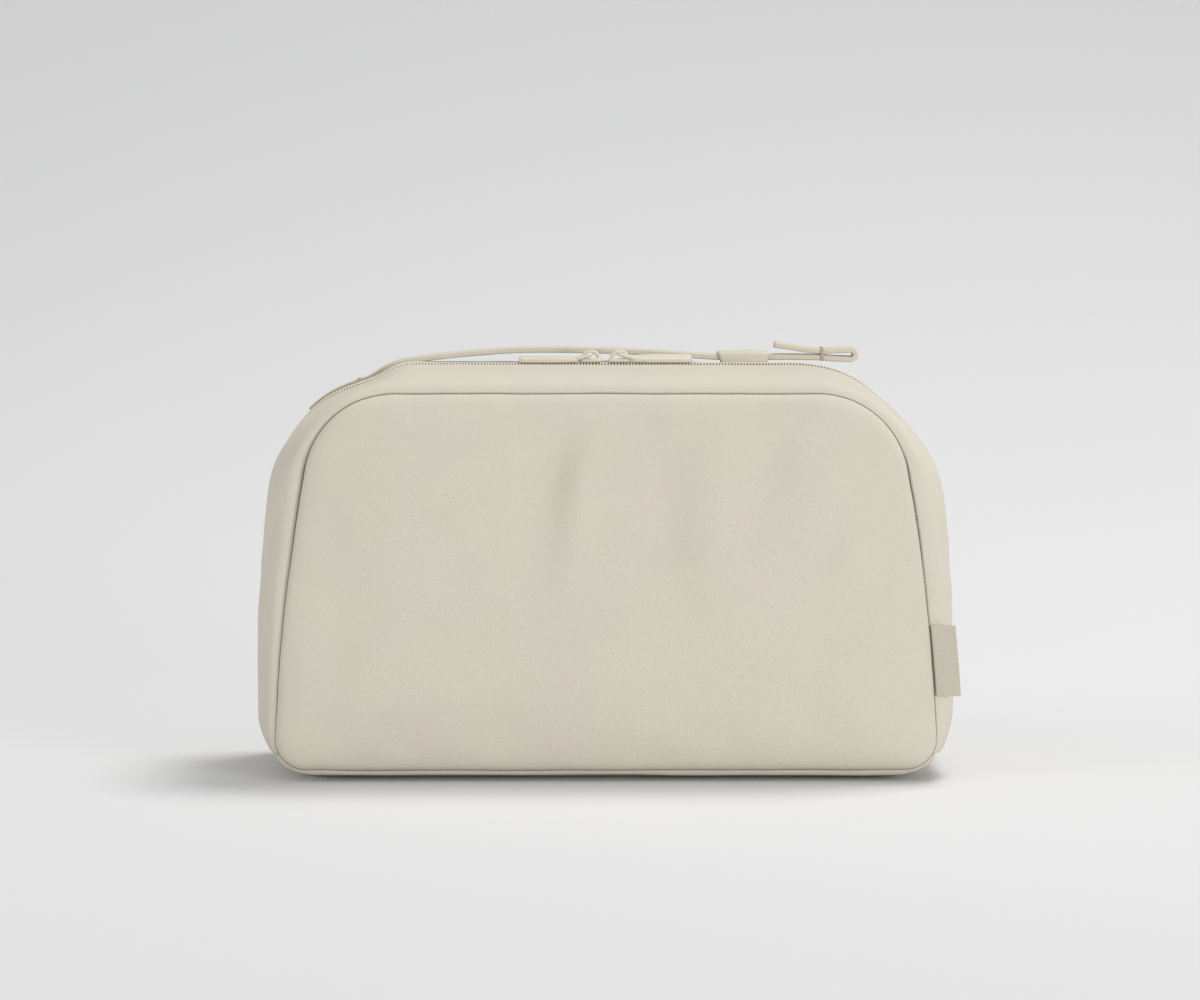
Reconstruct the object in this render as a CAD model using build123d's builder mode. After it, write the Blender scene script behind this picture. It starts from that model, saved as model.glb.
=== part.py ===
"""Wash and shaving kit bag: padded nylon body, clamshell zip, slide-through carry strap.

Millimetres.  X runs across the bag, +Y to the back, +Z up.  The origin is the centre of the
flat base, so the front panel faces -Y and the zip runs over the top in the plane Y = 0.
Each sub-part is one BuildPart block and one STEP file in parts/.
"""

import math
import os

from build123d import *

# ---------------------------------------------------------------- driving dimensions
BAG_HEIGHT = 164.0  # base to the crest of the gusset
SEAM_HALF_DEPTH = 50.0  # the two panel seams stand at Y = -50 and Y = +50
FLAT_HALF_DEPTH = 14.0  # the gusset is level across the zip for this far
BASE_FLAT_HALF_DEPTH = 34.0  # the base is flat for this far each side of the middle

# Outline of the gusset where it meets a panel (seam) and in the middle (crest).
# "half" is the half width at WAIST_Z; the sides lean inwards by "lean" mm per mm of height
# and bow outwards by "bow" mm half way up.
WAIST_Z = 20.0
SEAM = {
    "top": 153.9,
    "base": 4.6,
    "half": 129.7,
    "lean": 0.123,
    "bow": 3.3,
    "shoulder": 36.0,
    "corner": 12.6,
}
CREST = {
    "top": BAG_HEIGHT,
    "base": 0.0,
    "half": 136.2,
    "lean": 0.066,
    "bow": 5.4,
    "shoulder": 59.5,
    "corner": 26.8,
}
BULGE_POWER = 2.2  # superellipse power of the gusset's rounding from crest to seam
MIN_CORNER = 3.0

# Wall make-up, outside to inside.
FABRIC = 1.0
PADDING = 2.0
LINING = 0.6
WALL = FABRIC + PADDING + LINING

# Panels: each is a shallow pillow standing out from its seam as (inset, stand-out).
PILLOW = ((0.0, 0.0), (0.8, 2.5), (3.0, 4.3), (12.0, 5.8), (35.0, 7.0))
PILLOW_MIN_CORNER = 6.0

# Zip
SLOT_HALF = 6.0  # half the gap between the two folded strip edges
TAPE_OUTER = 9.0  # the tapes reach this far under the strips
CHAIN_GAP_HALF = 0.7  # half the gap between the two rows of coil
COIL_OUTER = 2.6
COIL_PROUD = 0.2  # coil above the fabric
TAPE = 0.6
BASE_SEAM_Z = 10.0  # the strips are sewn to the base panel at this height
ZIP_END_Z = 16.0
STOP_HEIGHT = 3.0
CLEAR = 0.3  # between pieces on different bodies

# Sliders; heights are above the crest of the bag
SLIDER_X = 5.8  # slider centres, closed, either side of the middle
SLIDER_LENGTH = 9.5
SLIDER_HALF_WIDTH = 3.2
POST_HALF = 0.35
POST_LENGTH = 2.2
PLATE_UNDER = 0.5
PLATE_EDGE_UNDER = 1.3  # the plate's underside rises to its edges
PLATE_TOP = 1.95
LOWER_PLATE = (-2.9, -1.9)
BRIDGE_LENGTH = 7.2
BRIDGE_HALF_WIDTH = 1.0
BRIDGE_GAP = (4.6, 2.5)
BRIDGE_BAR = 0.9
PIVOT_ABOVE_PLATE = 1.6

# Pulls: a wire loop through the bridge, moulded into a flat tab
WIRE_R = 0.6
LOOP_LENGTH = 7.2
LOOP_HALF_WIDTH = 2.2
LOOP_CORNER = 1.6
PULL_LENGTH = 24.0
PULL_WIDTH = 7.5
PULL_THICK = 2.0
PULL_START = 5.2  # pivot to the near end of the moulded tab
LOOP_DROOP = {"left": 8.0, "right": 2.8}  # degrees below level
TAB_DROP = {"left": 1.5, "right": 0.8}  # tab centre below the pivot
PULL_TWIST = {"left": 0.0, "right": 12.0}  # degrees about its own length, towards the front

# Carry strap, on the rear strip
STRAP_Y = 19.5
STRAP_WIDTH = 11.0
STRAP_THICK = 2.4
SEWN_END_X = (-120.0, -98.5)
SEWN_END_TACK_X = (-101.5, -99.7)
STRAP_LEFT = ((-98.2, 162.2), (-84.0, 165.5), (-60.0, 167.7), (-26.2, 169.3))
STRAP_RIGHT = ((-25.9, 169.3), (11.0, 168.9), (46.0, 166.0))
STRAP_LEVEL_Z = 166.0
TAIL_START_X = 46.3
TAIL_DROOP_X = 86.0
TAIL_FOLD = (100.5, 165.1)
TAIL_GAP = 3.8  # between the centre lines of the two folded layers
TAIL_TACK = (88.6, 168.35)
TAIL_END = (69.2, 171.0)
KEEPER_X = (47.0, 66.4)
KEEPER_WALL = 0.7
KEEPER_SIDE_GAP = 0.4
KEEPER_TOP_GAP = 0.35
TACK_LENGTH = 1.0
TACK_WALL = 0.3

# Side label, sewn into the front right seam
LABEL_Z = (34.2, 62.2)
LABEL_LENGTH = 9.9
LABEL_THICK = 1.0
LABEL_OUT = 0.9  # centre of its thickness, in front of the seam
LABEL_GAP = 0.4

# Inside pocket on the back wall
POCKET_HALF = 80.0
POCKET_Z = (14.0, 92.0)
POCKET_DEPTH = 6.5
POCKET_WALL = 0.8
POCKET_SEAM = 1.2
BAND_HEIGHT = 6.0
BAND_THICK = 1.4
BAND_PROUD = 0.3
BINDING_WIDTH = 2.5
BINDING_THICK = 1.6

BIG = 400.0  # larger than the bag, for cutting regions


# ---------------------------------------------------------------- shared geometry
def superellipse(distance, start, end):
    """1 up to start, falling round a superellipse to 0 at end."""
    if distance <= start:
        return 1.0
    share = min(1.0, (distance - start) / (end - start))
    return (1.0 - share**BULGE_POWER) ** (1.0 / BULGE_POWER)


def outline_sizes(y):
    """The bag's outline at depth y: between the seam's outline and the crest's."""
    swell = superellipse(abs(y), FLAT_HALF_DEPTH, SEAM_HALF_DEPTH)
    sizes = {k: SEAM[k] + swell * (CREST[k] - SEAM[k]) for k in SEAM}
    base_swell = superellipse(abs(y), BASE_FLAT_HALF_DEPTH, SEAM_HALF_DEPTH)
    sizes["base"] = SEAM["base"] * (1.0 - base_swell)
    return sizes


def side_half(sizes, z):
    """Half width of an outline's leaning, bowed side at height z."""
    middle = (sizes["top"] + sizes["base"]) / 2
    reach = (sizes["top"] - sizes["base"]) / 2
    bow = sizes["bow"] * (1.0 - ((z - middle) / reach) ** 2)
    return sizes["half"] - sizes["lean"] * (z - WAIST_Z) + bow


def outline(sizes, inset, min_corner=MIN_CORNER):
    """Rounded trapezoid with bowed sides, inset mm inside the given outline."""
    top = sizes["top"] - inset
    base = sizes["base"] + inset
    heights = (base, (base + top) / 2, top)
    right = [(side_half(sizes, z) - inset, z) for z in heights]
    left = [(-x, z) for x, z in reversed(right)]
    with BuildSketch() as drawn:
        with BuildLine():
            ThreePointArc(*right)
            Line(right[-1], left[0])
            ThreePointArc(*left)
            Line(left[-1], right[0])
        make_face()
        fillet(drawn.vertices().group_by(Axis.Y)[0], max(sizes["corner"] - inset, min_corner))
        fillet(drawn.vertices().group_by(Axis.Y)[-1], max(sizes["shoulder"] - inset, min_corner))
    return drawn.sketch


def gusset_solid(inset, overrun=0.0):
    """Solid filling the gusset to inset mm inside its outer surface."""
    rings = [0.0, FLAT_HALF_DEPTH, 21.0, 28.0, 34.0, 39.0, 43.0, 46.0, 48.5, SEAM_HALF_DEPTH]
    stations = [(-y, y) for y in reversed(rings)] + [(y, y) for y in rings[1:]]
    if overrun:
        reach = SEAM_HALF_DEPTH + overrun
        stations = [(-reach, SEAM_HALF_DEPTH)] + stations + [(reach, SEAM_HALF_DEPTH)]
    with BuildPart() as solid:
        for place, y in stations:
            with BuildSketch(Plane.XZ.offset(-place)):
                add(outline(outline_sizes(y), inset))
        loft(ruled=True)
    return solid.part


def gusset_wall(outer, inner):
    """Ring of gusset wall between two insets."""
    with BuildPart() as ring:
        add(gusset_solid(outer))
        add(gusset_solid(inner, overrun=1.0), mode=Mode.SUBTRACT)
    return ring.part


def keep_box(x=(-BIG, BIG), y=(-BIG, BIG), z=(-BIG, BIG)):
    """Keep only what the active part has inside this box."""
    centre = [(low + high) / 2 for low, high in (x, y, z)]
    size = [high - low for low, high in (x, y, z)]
    with Locations(tuple(centre)):
        Box(*size, mode=Mode.INTERSECT)


def pillow_solid(side, inset):
    """Solid of a panel's pillow, inset mm inside; side -1 is the front, +1 the back."""
    with BuildPart() as pillow:
        for step, out in PILLOW:
            depth = SEAM_HALF_DEPTH + max(out - inset, 0.0)
            with BuildSketch(Plane.XZ.offset(-side * depth)):
                add(outline(SEAM, step + inset, PILLOW_MIN_CORNER))
        loft(ruled=True)
    return pillow.part


def finish(builder, name):
    """Label a finished piece and write its STEP file."""
    builder.part.label = name
    export_step(builder.part, f"parts/{name}.step")


os.makedirs("parts", exist_ok=True)

OUTER_WALL = gusset_wall(0.0, FABRIC)
PADDING_WALL = gusset_wall(FABRIC, FABRIC + PADDING)
LINING_WALL = gusset_wall(FABRIC + PADDING, WALL)
TAPE_WALL = gusset_wall(FABRIC, FABRIC + TAPE)
COIL_WALL = gusset_wall(-COIL_PROUD, FABRIC)
ABOVE_BASE_SEAM = (BASE_SEAM_Z + CLEAR, BIG)
BELOW_BASE_SEAM = (-BIG, BASE_SEAM_Z)


# ---------------------------------------------------------------- front and back panels
for side, body in ((-1, "front"), (1, "back")):
    plane_y = side * SEAM_HALF_DEPTH
    lining_y = side * (SEAM_HALF_DEPTH + LINING)
    far_y = side * BIG

    with BuildPart() as panel:
        add(pillow_solid(side, 0.0))
        add(pillow_solid(side, FABRIC), mode=Mode.SUBTRACT)
    finish(panel, f"{body}_panel")

    with BuildPart() as padding:
        add(pillow_solid(side, FABRIC))
        keep_box(y=sorted((lining_y, far_y)))
    finish(padding, f"{body}_panel_padding")

    with BuildPart() as lining:
        add(pillow_solid(side, FABRIC))
        keep_box(y=sorted((plane_y, lining_y)))
    finish(lining, f"{body}_panel_lining")


# ---------------------------------------------------------------- gusset strips beside the zip
for side, body in ((-1, "front"), (1, "rear")):
    seam_y = side * SEAM_HALF_DEPTH

    with BuildPart() as strip:
        add(OUTER_WALL)
        keep_box(y=sorted((seam_y, side * SLOT_HALF)), z=ABOVE_BASE_SEAM)
    finish(strip, f"{body}_zip_strip")

    with BuildPart() as strip_padding:
        add(PADDING_WALL)
        keep_box(y=sorted((seam_y, side * TAPE_OUTER)), z=ABOVE_BASE_SEAM)
    finish(strip_padding, f"{body}_strip_padding")

    with BuildPart() as strip_lining:
        add(LINING_WALL)
        keep_box(y=sorted((seam_y, side * TAPE_OUTER)), z=ABOVE_BASE_SEAM)
    finish(strip_lining, f"{body}_strip_lining")

    with BuildPart() as tape:
        add(TAPE_WALL)
        keep_box(y=sorted((side * CHAIN_GAP_HALF, side * TAPE_OUTER)), z=ABOVE_BASE_SEAM)
    finish(tape, f"{body}_zip_tape")

    with BuildPart() as coil:
        add(COIL_WALL)
        keep_box(y=sorted((side * CHAIN_GAP_HALF, side * COIL_OUTER)), z=(ZIP_END_Z, BIG))
    finish(coil, f"{body}_zip_coil")

    with BuildPart() as stops:
        add(COIL_WALL)
        keep_box(
            y=sorted((side * CHAIN_GAP_HALF, side * COIL_OUTER)),
            z=(ZIP_END_Z - STOP_HEIGHT, ZIP_END_Z),
        )
    finish(stops, f"{body}_zip_end_stops")


# ---------------------------------------------------------------- base panel
FRONT_EDGE = -SEAM_HALF_DEPTH + CLEAR
for wall, name in (
    (OUTER_WALL, "base_panel"),
    (PADDING_WALL, "base_padding"),
    (LINING_WALL, "base_lining"),
):
    with BuildPart() as base:
        add(wall)
        keep_box(y=(FRONT_EDGE, SEAM_HALF_DEPTH), z=BELOW_BASE_SEAM)
    finish(base, name)


# ---------------------------------------------------------------- binding over the raw inside seams
for side, body in ((-1, "front"), (1, "rear")):
    with BuildPart() as binding:
        with BuildSketch(Plane.XZ.offset(-side * SEAM_HALF_DEPTH)):
            add(outline(SEAM, WALL + CLEAR))
        extrude(amount=side * BINDING_WIDTH)
        with BuildSketch(Plane.XZ.offset(-side * SEAM_HALF_DEPTH)):
            add(outline(SEAM, WALL + CLEAR + BINDING_THICK))
        extrude(amount=side * BINDING_WIDTH, mode=Mode.SUBTRACT)
    finish(binding, f"{body}_seam_binding")


# ---------------------------------------------------------------- sliders and pulls
plate_z = BAG_HEIGHT + PLATE_TOP
edge_z = BAG_HEIGHT + PLATE_EDGE_UNDER
under_z = BAG_HEIGHT + PLATE_UNDER
pivot_z = plate_z + PIVOT_ABOVE_PLATE
lower_z, lower_top_z = (BAG_HEIGHT + height for height in LOWER_PLATE)

for hand, sign in (("left", -1), ("right", 1)):
    centre_x = sign * SLIDER_X

    with BuildPart() as slider:
        # top plate: a shallow roof over the coil
        with BuildSketch(Plane.YZ.offset(centre_x)):
            with BuildLine():
                Polyline(
                    (-SLIDER_HALF_WIDTH, edge_z),
                    (-CHAIN_GAP_HALF, under_z),
                    (CHAIN_GAP_HALF, under_z),
                    (SLIDER_HALF_WIDTH, edge_z),
                    (SLIDER_HALF_WIDTH, plate_z),
                    (-SLIDER_HALF_WIDTH, plate_z),
                    close=True,
                )
            make_face()
        extrude(amount=SLIDER_LENGTH / 2, both=True)
        # lower plate
        with BuildSketch(Plane.XY.offset(lower_z)):
            with Locations((centre_x, 0)):
                Rectangle(SLIDER_LENGTH, 2 * SLIDER_HALF_WIDTH)
        extrude(amount=lower_top_z - lower_z)
        # both plates rounded in plan
        with BuildSketch(Plane.XY.offset(lower_z - 1)):
            with Locations((centre_x, 0)):
                RectangleRounded(SLIDER_LENGTH, 2 * SLIDER_HALF_WIDTH, 2.4)
        extrude(amount=20, mode=Mode.INTERSECT)
        # post between the two rows, at the end that faces the other slider
        with BuildSketch(Plane.XY.offset(lower_top_z)):
            with Locations((centre_x - sign * (SLIDER_LENGTH / 2 - POST_LENGTH), 0)):
                RectangleRounded(POST_LENGTH, 2 * POST_HALF, POST_HALF * 0.9)
        extrude(amount=plate_z - lower_top_z - 0.2)
        # bridge that holds the pull
        with BuildSketch(Plane.XZ) as bridge:
            with Locations((centre_x, plate_z)):
                Rectangle(BRIDGE_LENGTH, BRIDGE_GAP[1] + BRIDGE_BAR, align=(Align.CENTER, Align.MIN))
            fillet(bridge.vertices().group_by(Axis.Y)[-1], 1.6)
            with Locations((centre_x, plate_z)):
                Rectangle(*BRIDGE_GAP, align=(Align.CENTER, Align.MIN), mode=Mode.SUBTRACT)
        extrude(amount=BRIDGE_HALF_WIDTH, both=True)
    finish(slider, f"{hand}_slider_body")

    # The pull points away from the other slider: the loop droops, the tab lies level.
    twist = math.radians(PULL_TWIST[hand])
    across = Vector(0, math.cos(twist), math.sin(twist))
    droop = math.radians(LOOP_DROOP[hand])
    along = Vector(sign * math.cos(droop), 0, -math.sin(droop))
    loop_plane = Plane(origin=(centre_x, 0, pivot_z), x_dir=along, z_dir=along.cross(across) * sign)
    tab_plane = Plane(
        origin=(centre_x, 0, pivot_z - TAB_DROP[hand]),
        x_dir=(sign, 0, 0),
        z_dir=(0, -math.sin(twist), math.cos(twist)),
    )

    with BuildPart() as pull_loop:
        with BuildLine(loop_plane) as loop_path:
            FilletPolyline(
                (0, -LOOP_HALF_WIDTH),
                (LOOP_LENGTH, -LOOP_HALF_WIDTH),
                (LOOP_LENGTH, LOOP_HALF_WIDTH),
                (0, LOOP_HALF_WIDTH),
                radius=LOOP_CORNER,
                close=True,
            )
        with BuildSketch(Plane(origin=loop_path.line @ 0, z_dir=loop_path.line % 0)):
            Circle(WIRE_R)
        sweep(path=loop_path.line)
    finish(pull_loop, f"{hand}_pull_loop")

    with BuildPart() as pull_tab:
        with BuildSketch(tab_plane.offset(-PULL_THICK / 2)):
            with Locations((PULL_START + PULL_LENGTH / 2, 0)):
                RectangleRounded(PULL_LENGTH, PULL_WIDTH, 1.6)
        extrude(amount=PULL_THICK)
        fillet(pull_tab.edges().filter_by(GeomType.LINE).group_by(SortBy.LENGTH)[-1], 0.7)
        add(pull_loop.part, mode=Mode.SUBTRACT)
    finish(pull_tab, f"{hand}_pull_tab")


# ---------------------------------------------------------------- carry strap
STRAP_PLANE = Plane.XZ.offset(-STRAP_Y)
STRAP_SPAN_Y = (STRAP_Y - STRAP_WIDTH / 2, STRAP_Y + STRAP_WIDTH / 2)
HALF_STRAP = STRAP_THICK / 2

with BuildPart() as sewn_end:
    add(gusset_wall(-STRAP_THICK, 0.0))
    keep_box(x=SEWN_END_X, y=STRAP_SPAN_Y, z=(BAG_HEIGHT / 2, BIG))
finish(sewn_end, "strap_sewn_end")

with BuildPart() as end_tack:
    add(gusset_wall(-STRAP_THICK - TACK_WALL, -STRAP_THICK))
    keep_box(x=SEWN_END_TACK_X, y=STRAP_SPAN_Y, z=(BAG_HEIGHT / 2, BIG))
finish(end_tack, "strap_end_stitching")

for points, name in ((STRAP_LEFT, "strap_left_run"), (STRAP_RIGHT, "strap_right_run")):
    with BuildPart() as run:
        with BuildSketch(STRAP_PLANE):
            with BuildLine():
                Spline(*points)
            trace(line_width=STRAP_THICK)
        extrude(amount=STRAP_WIDTH / 2, both=True)
    finish(run, name)

# The far end passes through the keeper, folds back over itself and is tacked to itself.
fold_side = (TAIL_FOLD[0] + TAIL_GAP / 2, TAIL_FOLD[1] + TAIL_GAP / 2)
fold_top = (TAIL_FOLD[0], TAIL_FOLD[1] + TAIL_GAP)
with BuildPart() as tail:
    with BuildSketch(STRAP_PLANE):
        with BuildLine():
            Polyline((TAIL_START_X, STRAP_LEVEL_Z), (TAIL_DROOP_X, STRAP_LEVEL_Z), TAIL_FOLD)
            ThreePointArc(TAIL_FOLD, fold_side, fold_top)
            Polyline(fold_top, TAIL_TACK, TAIL_END)
        trace(line_width=STRAP_THICK)
    extrude(amount=STRAP_WIDTH / 2, both=True)
finish(tail, "strap_folded_end")

with BuildPart() as tack:
    low = STRAP_LEVEL_Z - HALF_STRAP - 0.2
    high = TAIL_TACK[1] + HALF_STRAP + 0.15
    with BuildSketch(Plane.YZ.offset(TAIL_TACK[0])):
        with Locations((STRAP_Y, (low + high) / 2)):
            Rectangle(STRAP_WIDTH + 2 * TACK_WALL, high - low + 2 * TACK_WALL)
            Rectangle(STRAP_WIDTH, high - low, mode=Mode.SUBTRACT)
    extrude(amount=TACK_LENGTH / 2, both=True)
    add(tail.part, mode=Mode.SUBTRACT)
finish(tack, "strap_fold_stitching")

with BuildPart() as keeper:
    inner_half = STRAP_WIDTH / 2 + KEEPER_SIDE_GAP
    foot_z = BAG_HEIGHT - 3
    ceiling = STRAP_LEVEL_Z + HALF_STRAP + KEEPER_TOP_GAP
    with BuildSketch(Plane.YZ.offset(KEEPER_X[0])):
        with Locations((STRAP_Y, foot_z)):
            Rectangle(
                2 * (inner_half + KEEPER_WALL),
                ceiling + KEEPER_WALL - foot_z,
                align=(Align.CENTER, Align.MIN),
            )
            Rectangle(
                2 * inner_half,
                ceiling - foot_z,
                align=(Align.CENTER, Align.MIN),
                mode=Mode.SUBTRACT,
            )
    extrude(amount=KEEPER_X[1] - KEEPER_X[0])
    add(gusset_solid(0.0), mode=Mode.SUBTRACT)
finish(keeper, "strap_keeper")


# ---------------------------------------------------------------- side label
with BuildPart() as label:
    inner = [(side_half(SEAM, z) + LABEL_GAP, z) for z in LABEL_Z]
    outer = [(x + LABEL_LENGTH, z) for x, z in reversed(inner)]
    with BuildSketch(Plane.XZ.offset(SEAM_HALF_DEPTH + LABEL_OUT)):
        with BuildLine():
            Polyline(*inner, *outer, close=True)
        make_face()
    extrude(amount=LABEL_THICK / 2, both=True)
finish(label, "side_label")


# ---------------------------------------------------------------- pocket on the inside back wall
POCKET_BACK = SEAM_HALF_DEPTH
with BuildPart() as pocket:
    middle_z = (POCKET_Z[0] + POCKET_Z[1]) / 2
    height = POCKET_Z[1] - POCKET_Z[0]
    with BuildSketch(Plane.XZ.offset(-POCKET_BACK)):
        with Locations((0, middle_z)):
            RectangleRounded(2 * POCKET_HALF, height, 8)
    extrude(amount=POCKET_DEPTH)
    with BuildSketch(Plane.XZ.offset(-POCKET_BACK)):
        with Locations((0, POCKET_Z[0] + POCKET_SEAM)):
            Rectangle(
                2 * (POCKET_HALF - POCKET_SEAM), 2 * height, align=(Align.CENTER, Align.MIN)
            )
    extrude(amount=POCKET_DEPTH - POCKET_WALL, mode=Mode.SUBTRACT)
    keep_box(z=(-BIG, POCKET_Z[1] - BAND_HEIGHT))
finish(pocket, "slip_pocket")

with BuildPart() as band:
    band_y = POCKET_BACK - POCKET_DEPTH - BAND_PROUD + BAND_THICK / 2
    band_z = POCKET_Z[1] - BAND_HEIGHT / 2
    with Locations((0, band_y, band_z)):
        Box(2 * POCKET_HALF, BAND_THICK, BAND_HEIGHT)
    for edge in (-1, 1):
        with Locations((edge * (POCKET_HALF - POCKET_SEAM / 2), POCKET_BACK - POCKET_DEPTH / 2, band_z)):
            Box(POCKET_SEAM, POCKET_DEPTH, BAND_HEIGHT)
finish(band, "slip_pocket_elastic")
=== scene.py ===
"""Looks of the shaving kit bag: soft padded shells, lining, zip, strap and label on the CAD frame.

Sizes below are in millimetres and repeat part.py's; meshes are made in metres.
Fronts face -Y.  The bag's outline is a rounded trapezoid whose sizes swell from each panel
seam to the zip, and every soft piece is a grid laid on that swelling surface.
"""

import math

import bmesh
import bpy
import numpy as np
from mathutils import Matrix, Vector, kdtree, noise


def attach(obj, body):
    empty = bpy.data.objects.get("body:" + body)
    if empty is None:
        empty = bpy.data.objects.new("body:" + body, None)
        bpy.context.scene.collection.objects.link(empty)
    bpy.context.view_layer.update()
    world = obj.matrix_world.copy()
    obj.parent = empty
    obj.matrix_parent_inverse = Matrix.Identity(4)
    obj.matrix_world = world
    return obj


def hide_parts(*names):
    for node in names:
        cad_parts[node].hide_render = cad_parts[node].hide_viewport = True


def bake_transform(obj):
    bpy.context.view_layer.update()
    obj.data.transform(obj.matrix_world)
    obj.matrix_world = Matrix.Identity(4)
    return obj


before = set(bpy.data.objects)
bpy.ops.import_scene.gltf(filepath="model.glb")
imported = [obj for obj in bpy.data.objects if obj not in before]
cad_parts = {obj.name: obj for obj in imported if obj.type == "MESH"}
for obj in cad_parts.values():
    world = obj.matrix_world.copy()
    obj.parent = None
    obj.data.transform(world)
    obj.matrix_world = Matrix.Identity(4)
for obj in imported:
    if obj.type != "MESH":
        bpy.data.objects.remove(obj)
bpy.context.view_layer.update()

# ---------------------------------------------------------------- sizes, as in part.py
MM = 0.001
SEAM_Y = 50.0
WAIST_Z = 20.0
FLAT_Y = 14.0
BASE_FLAT_Y = 34.0
BULGE_POWER = 2.2
SIZE_NAMES = ("top", "base", "half", "lean", "bow", "shoulder", "corner")
SEAM = dict(zip(SIZE_NAMES, (153.9, 4.6, 129.7, 0.123, 3.3, 36.0, 12.6)))
CREST = dict(zip(SIZE_NAMES, (164.0, 0.0, 136.2, 0.066, 5.4, 59.5, 26.8)))
FABRIC = 1.0
PADDED = 3.0  # fabric and padding
WALL = 3.6  # with the lining
LAYER_GAP = 0.05
SLOT_Y = 6.0
TAPE_Y = 9.0
BASE_SEAM_Z = 10.0
ZIP_END_Z = 16.0
BAG_TOP = 164.0
STRAP_Y = 19.5
PANEL_MIDDLE = (52.0, 79.0)  # a panel's rings close on a level line this long each side, this high


# ---------------------------------------------------------------- the bag's surface
def swell(distance, start):
    """1 up to start, falling round a superellipse to 0 at the seam."""
    if distance <= start:
        return 1.0
    share = min(1.0, (distance - start) / (SEAM_Y - start))
    return (1.0 - share**BULGE_POWER) ** (1.0 / BULGE_POWER)


def sizes_at(y):
    """The outline's sizes at depth y."""
    sizes = {k: SEAM[k] + swell(abs(y), FLAT_Y) * (CREST[k] - SEAM[k]) for k in SEAM}
    sizes["base"] = SEAM["base"] * (1.0 - swell(abs(y), BASE_FLAT_Y))
    return sizes


def arc(centre, radius, start, end, count):
    """Points and outward normals on an arc, the last point left out."""
    angles = start + (end - start) * np.arange(count) / count
    normals = np.stack([np.cos(angles), np.sin(angles)], axis=1)
    return centre + radius * normals, normals


def right_half(sizes):
    """Side circle, shoulder and corner arcs of an outline's right half."""
    top, base, bow = sizes["top"], sizes["base"], sizes["bow"]
    low = np.array([sizes["half"] - sizes["lean"] * (base - WAIST_Z), base])
    high = np.array([sizes["half"] - sizes["lean"] * (top - WAIST_Z), top])
    chord = high - low
    length = math.hypot(*chord)
    radius = (length**2 / 4 + bow**2) / (2 * bow)
    outward = np.array([chord[1], -chord[0]]) / length
    middle = (low + high) / 2 - outward * (radius - bow)

    def arc_centre(z, inner):
        reach = math.sqrt((radius - inner) ** 2 - (z - middle[1]) ** 2)
        return np.array([middle[0] + reach, z])

    shoulder = arc_centre(top - sizes["shoulder"], sizes["shoulder"])
    corner = arc_centre(base + sizes["corner"], sizes["corner"])
    shoulder_angle = math.atan2(*(shoulder - middle)[::-1])
    corner_angle = math.atan2(*(corner - middle)[::-1])
    return middle, radius, shoulder, shoulder_angle, corner, corner_angle


def at_depth(points, y):
    """Points (x, z) of an outline as (x, y, z), all at depth y."""
    return np.column_stack([points[:, 0], np.full(len(points), y), points[:, 1]])


def lengths_along(points):
    """Distance along a line of points from its first point to each of them."""
    return np.concatenate([[0], np.cumsum(np.linalg.norm(np.diff(points, axis=0), axis=1))])


def resampled(marks, lengths, points):
    """The (x, z) points at the given distances along a line."""
    return np.column_stack([np.interp(marks, lengths, points[:, k]) for k in (0, 1)])


def level_run(reach, z, out, count):
    """Points and normals from x = reach to the middle at height z; out is 1 or -1."""
    share = 1 - np.arange(count + 1) / count
    points = np.stack([reach * share, np.full(count + 1, z)], axis=1)
    return points, np.tile([0.0, out], (count + 1, 1))


def mirrored(points, normals):
    """A right half run continued into its mirror image on the left."""
    flip = np.array([-1.0, 1.0])
    return np.vstack([points, points[-2::-1] * flip]), np.vstack([normals, normals[-2::-1] * flip])


def upper_run(sizes, low_z=BASE_SEAM_Z, steps=(10, 60, 30, 44)):
    """The outline from low_z on the right, over the top, to low_z on the left."""
    middle, radius, shoulder, shoulder_angle, corner, corner_angle = right_half(sizes)
    low = math.asin(max(-1.0, min(math.sin(corner_angle), (low_z - corner[1]) / sizes["corner"])))
    runs = [
        arc(corner, sizes["corner"], low, corner_angle, steps[0]),
        arc(middle, radius, corner_angle, shoulder_angle, steps[1]),
        arc(shoulder, sizes["shoulder"], shoulder_angle, math.pi / 2, steps[2]),
        level_run(shoulder[0], sizes["top"], 1.0, steps[3]),
    ]
    return mirrored(*[np.vstack(parts) for parts in zip(*runs)])


def lower_run(sizes, steps=(12, 40)):
    """The outline from the base's side seam on the right, under the base, to the left one."""
    corner = right_half(sizes)[4]
    high = math.asin(max(-1.0, min(1.0, (BASE_SEAM_Z - corner[1]) / sizes["corner"])))
    runs = [
        arc(corner, sizes["corner"], high, -math.pi / 2, steps[0]),
        level_run(corner[0], sizes["base"], -1.0, steps[1]),
    ]
    return mirrored(*[np.vstack(parts) for parts in zip(*runs)])


def closed_run(sizes):
    """The whole outline, from the middle of the top round the left, base and right."""
    upper, upper_n = upper_run(sizes)
    lower, lower_n = lower_run(sizes)
    half = len(upper) // 2
    points = np.vstack([upper[half:-1], lower[::-1][:-1], upper[:half]])
    normals = np.vstack([upper_n[half:-1], lower_n[::-1][:-1], upper_n[:half]])
    return points, normals


def lumps(points, size, seed):
    """Smooth noise from -1 to 1 at each (x, y, z), about size mm between bumps."""
    shift = Vector((seed * 7.3, seed * 3.1, seed * 5.7))
    flat = points.reshape(-1, 3) / size
    values = [noise.noise(Vector(p) + shift) for p in flat]
    return np.array(values).reshape(points.shape[:-1])


SHOULDER_DIPS = ((-96.0, 16.0, 3.4), (116.0, 13.0, 1.9))  # centre x, reach, depth


def smoothstep(low, high, value):
    """0 below low, 1 above high, and a smooth rise between."""
    t = np.clip((value - low) / (high - low), 0.0, 1.0)
    return t * t * (3 - 2 * t)


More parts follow.
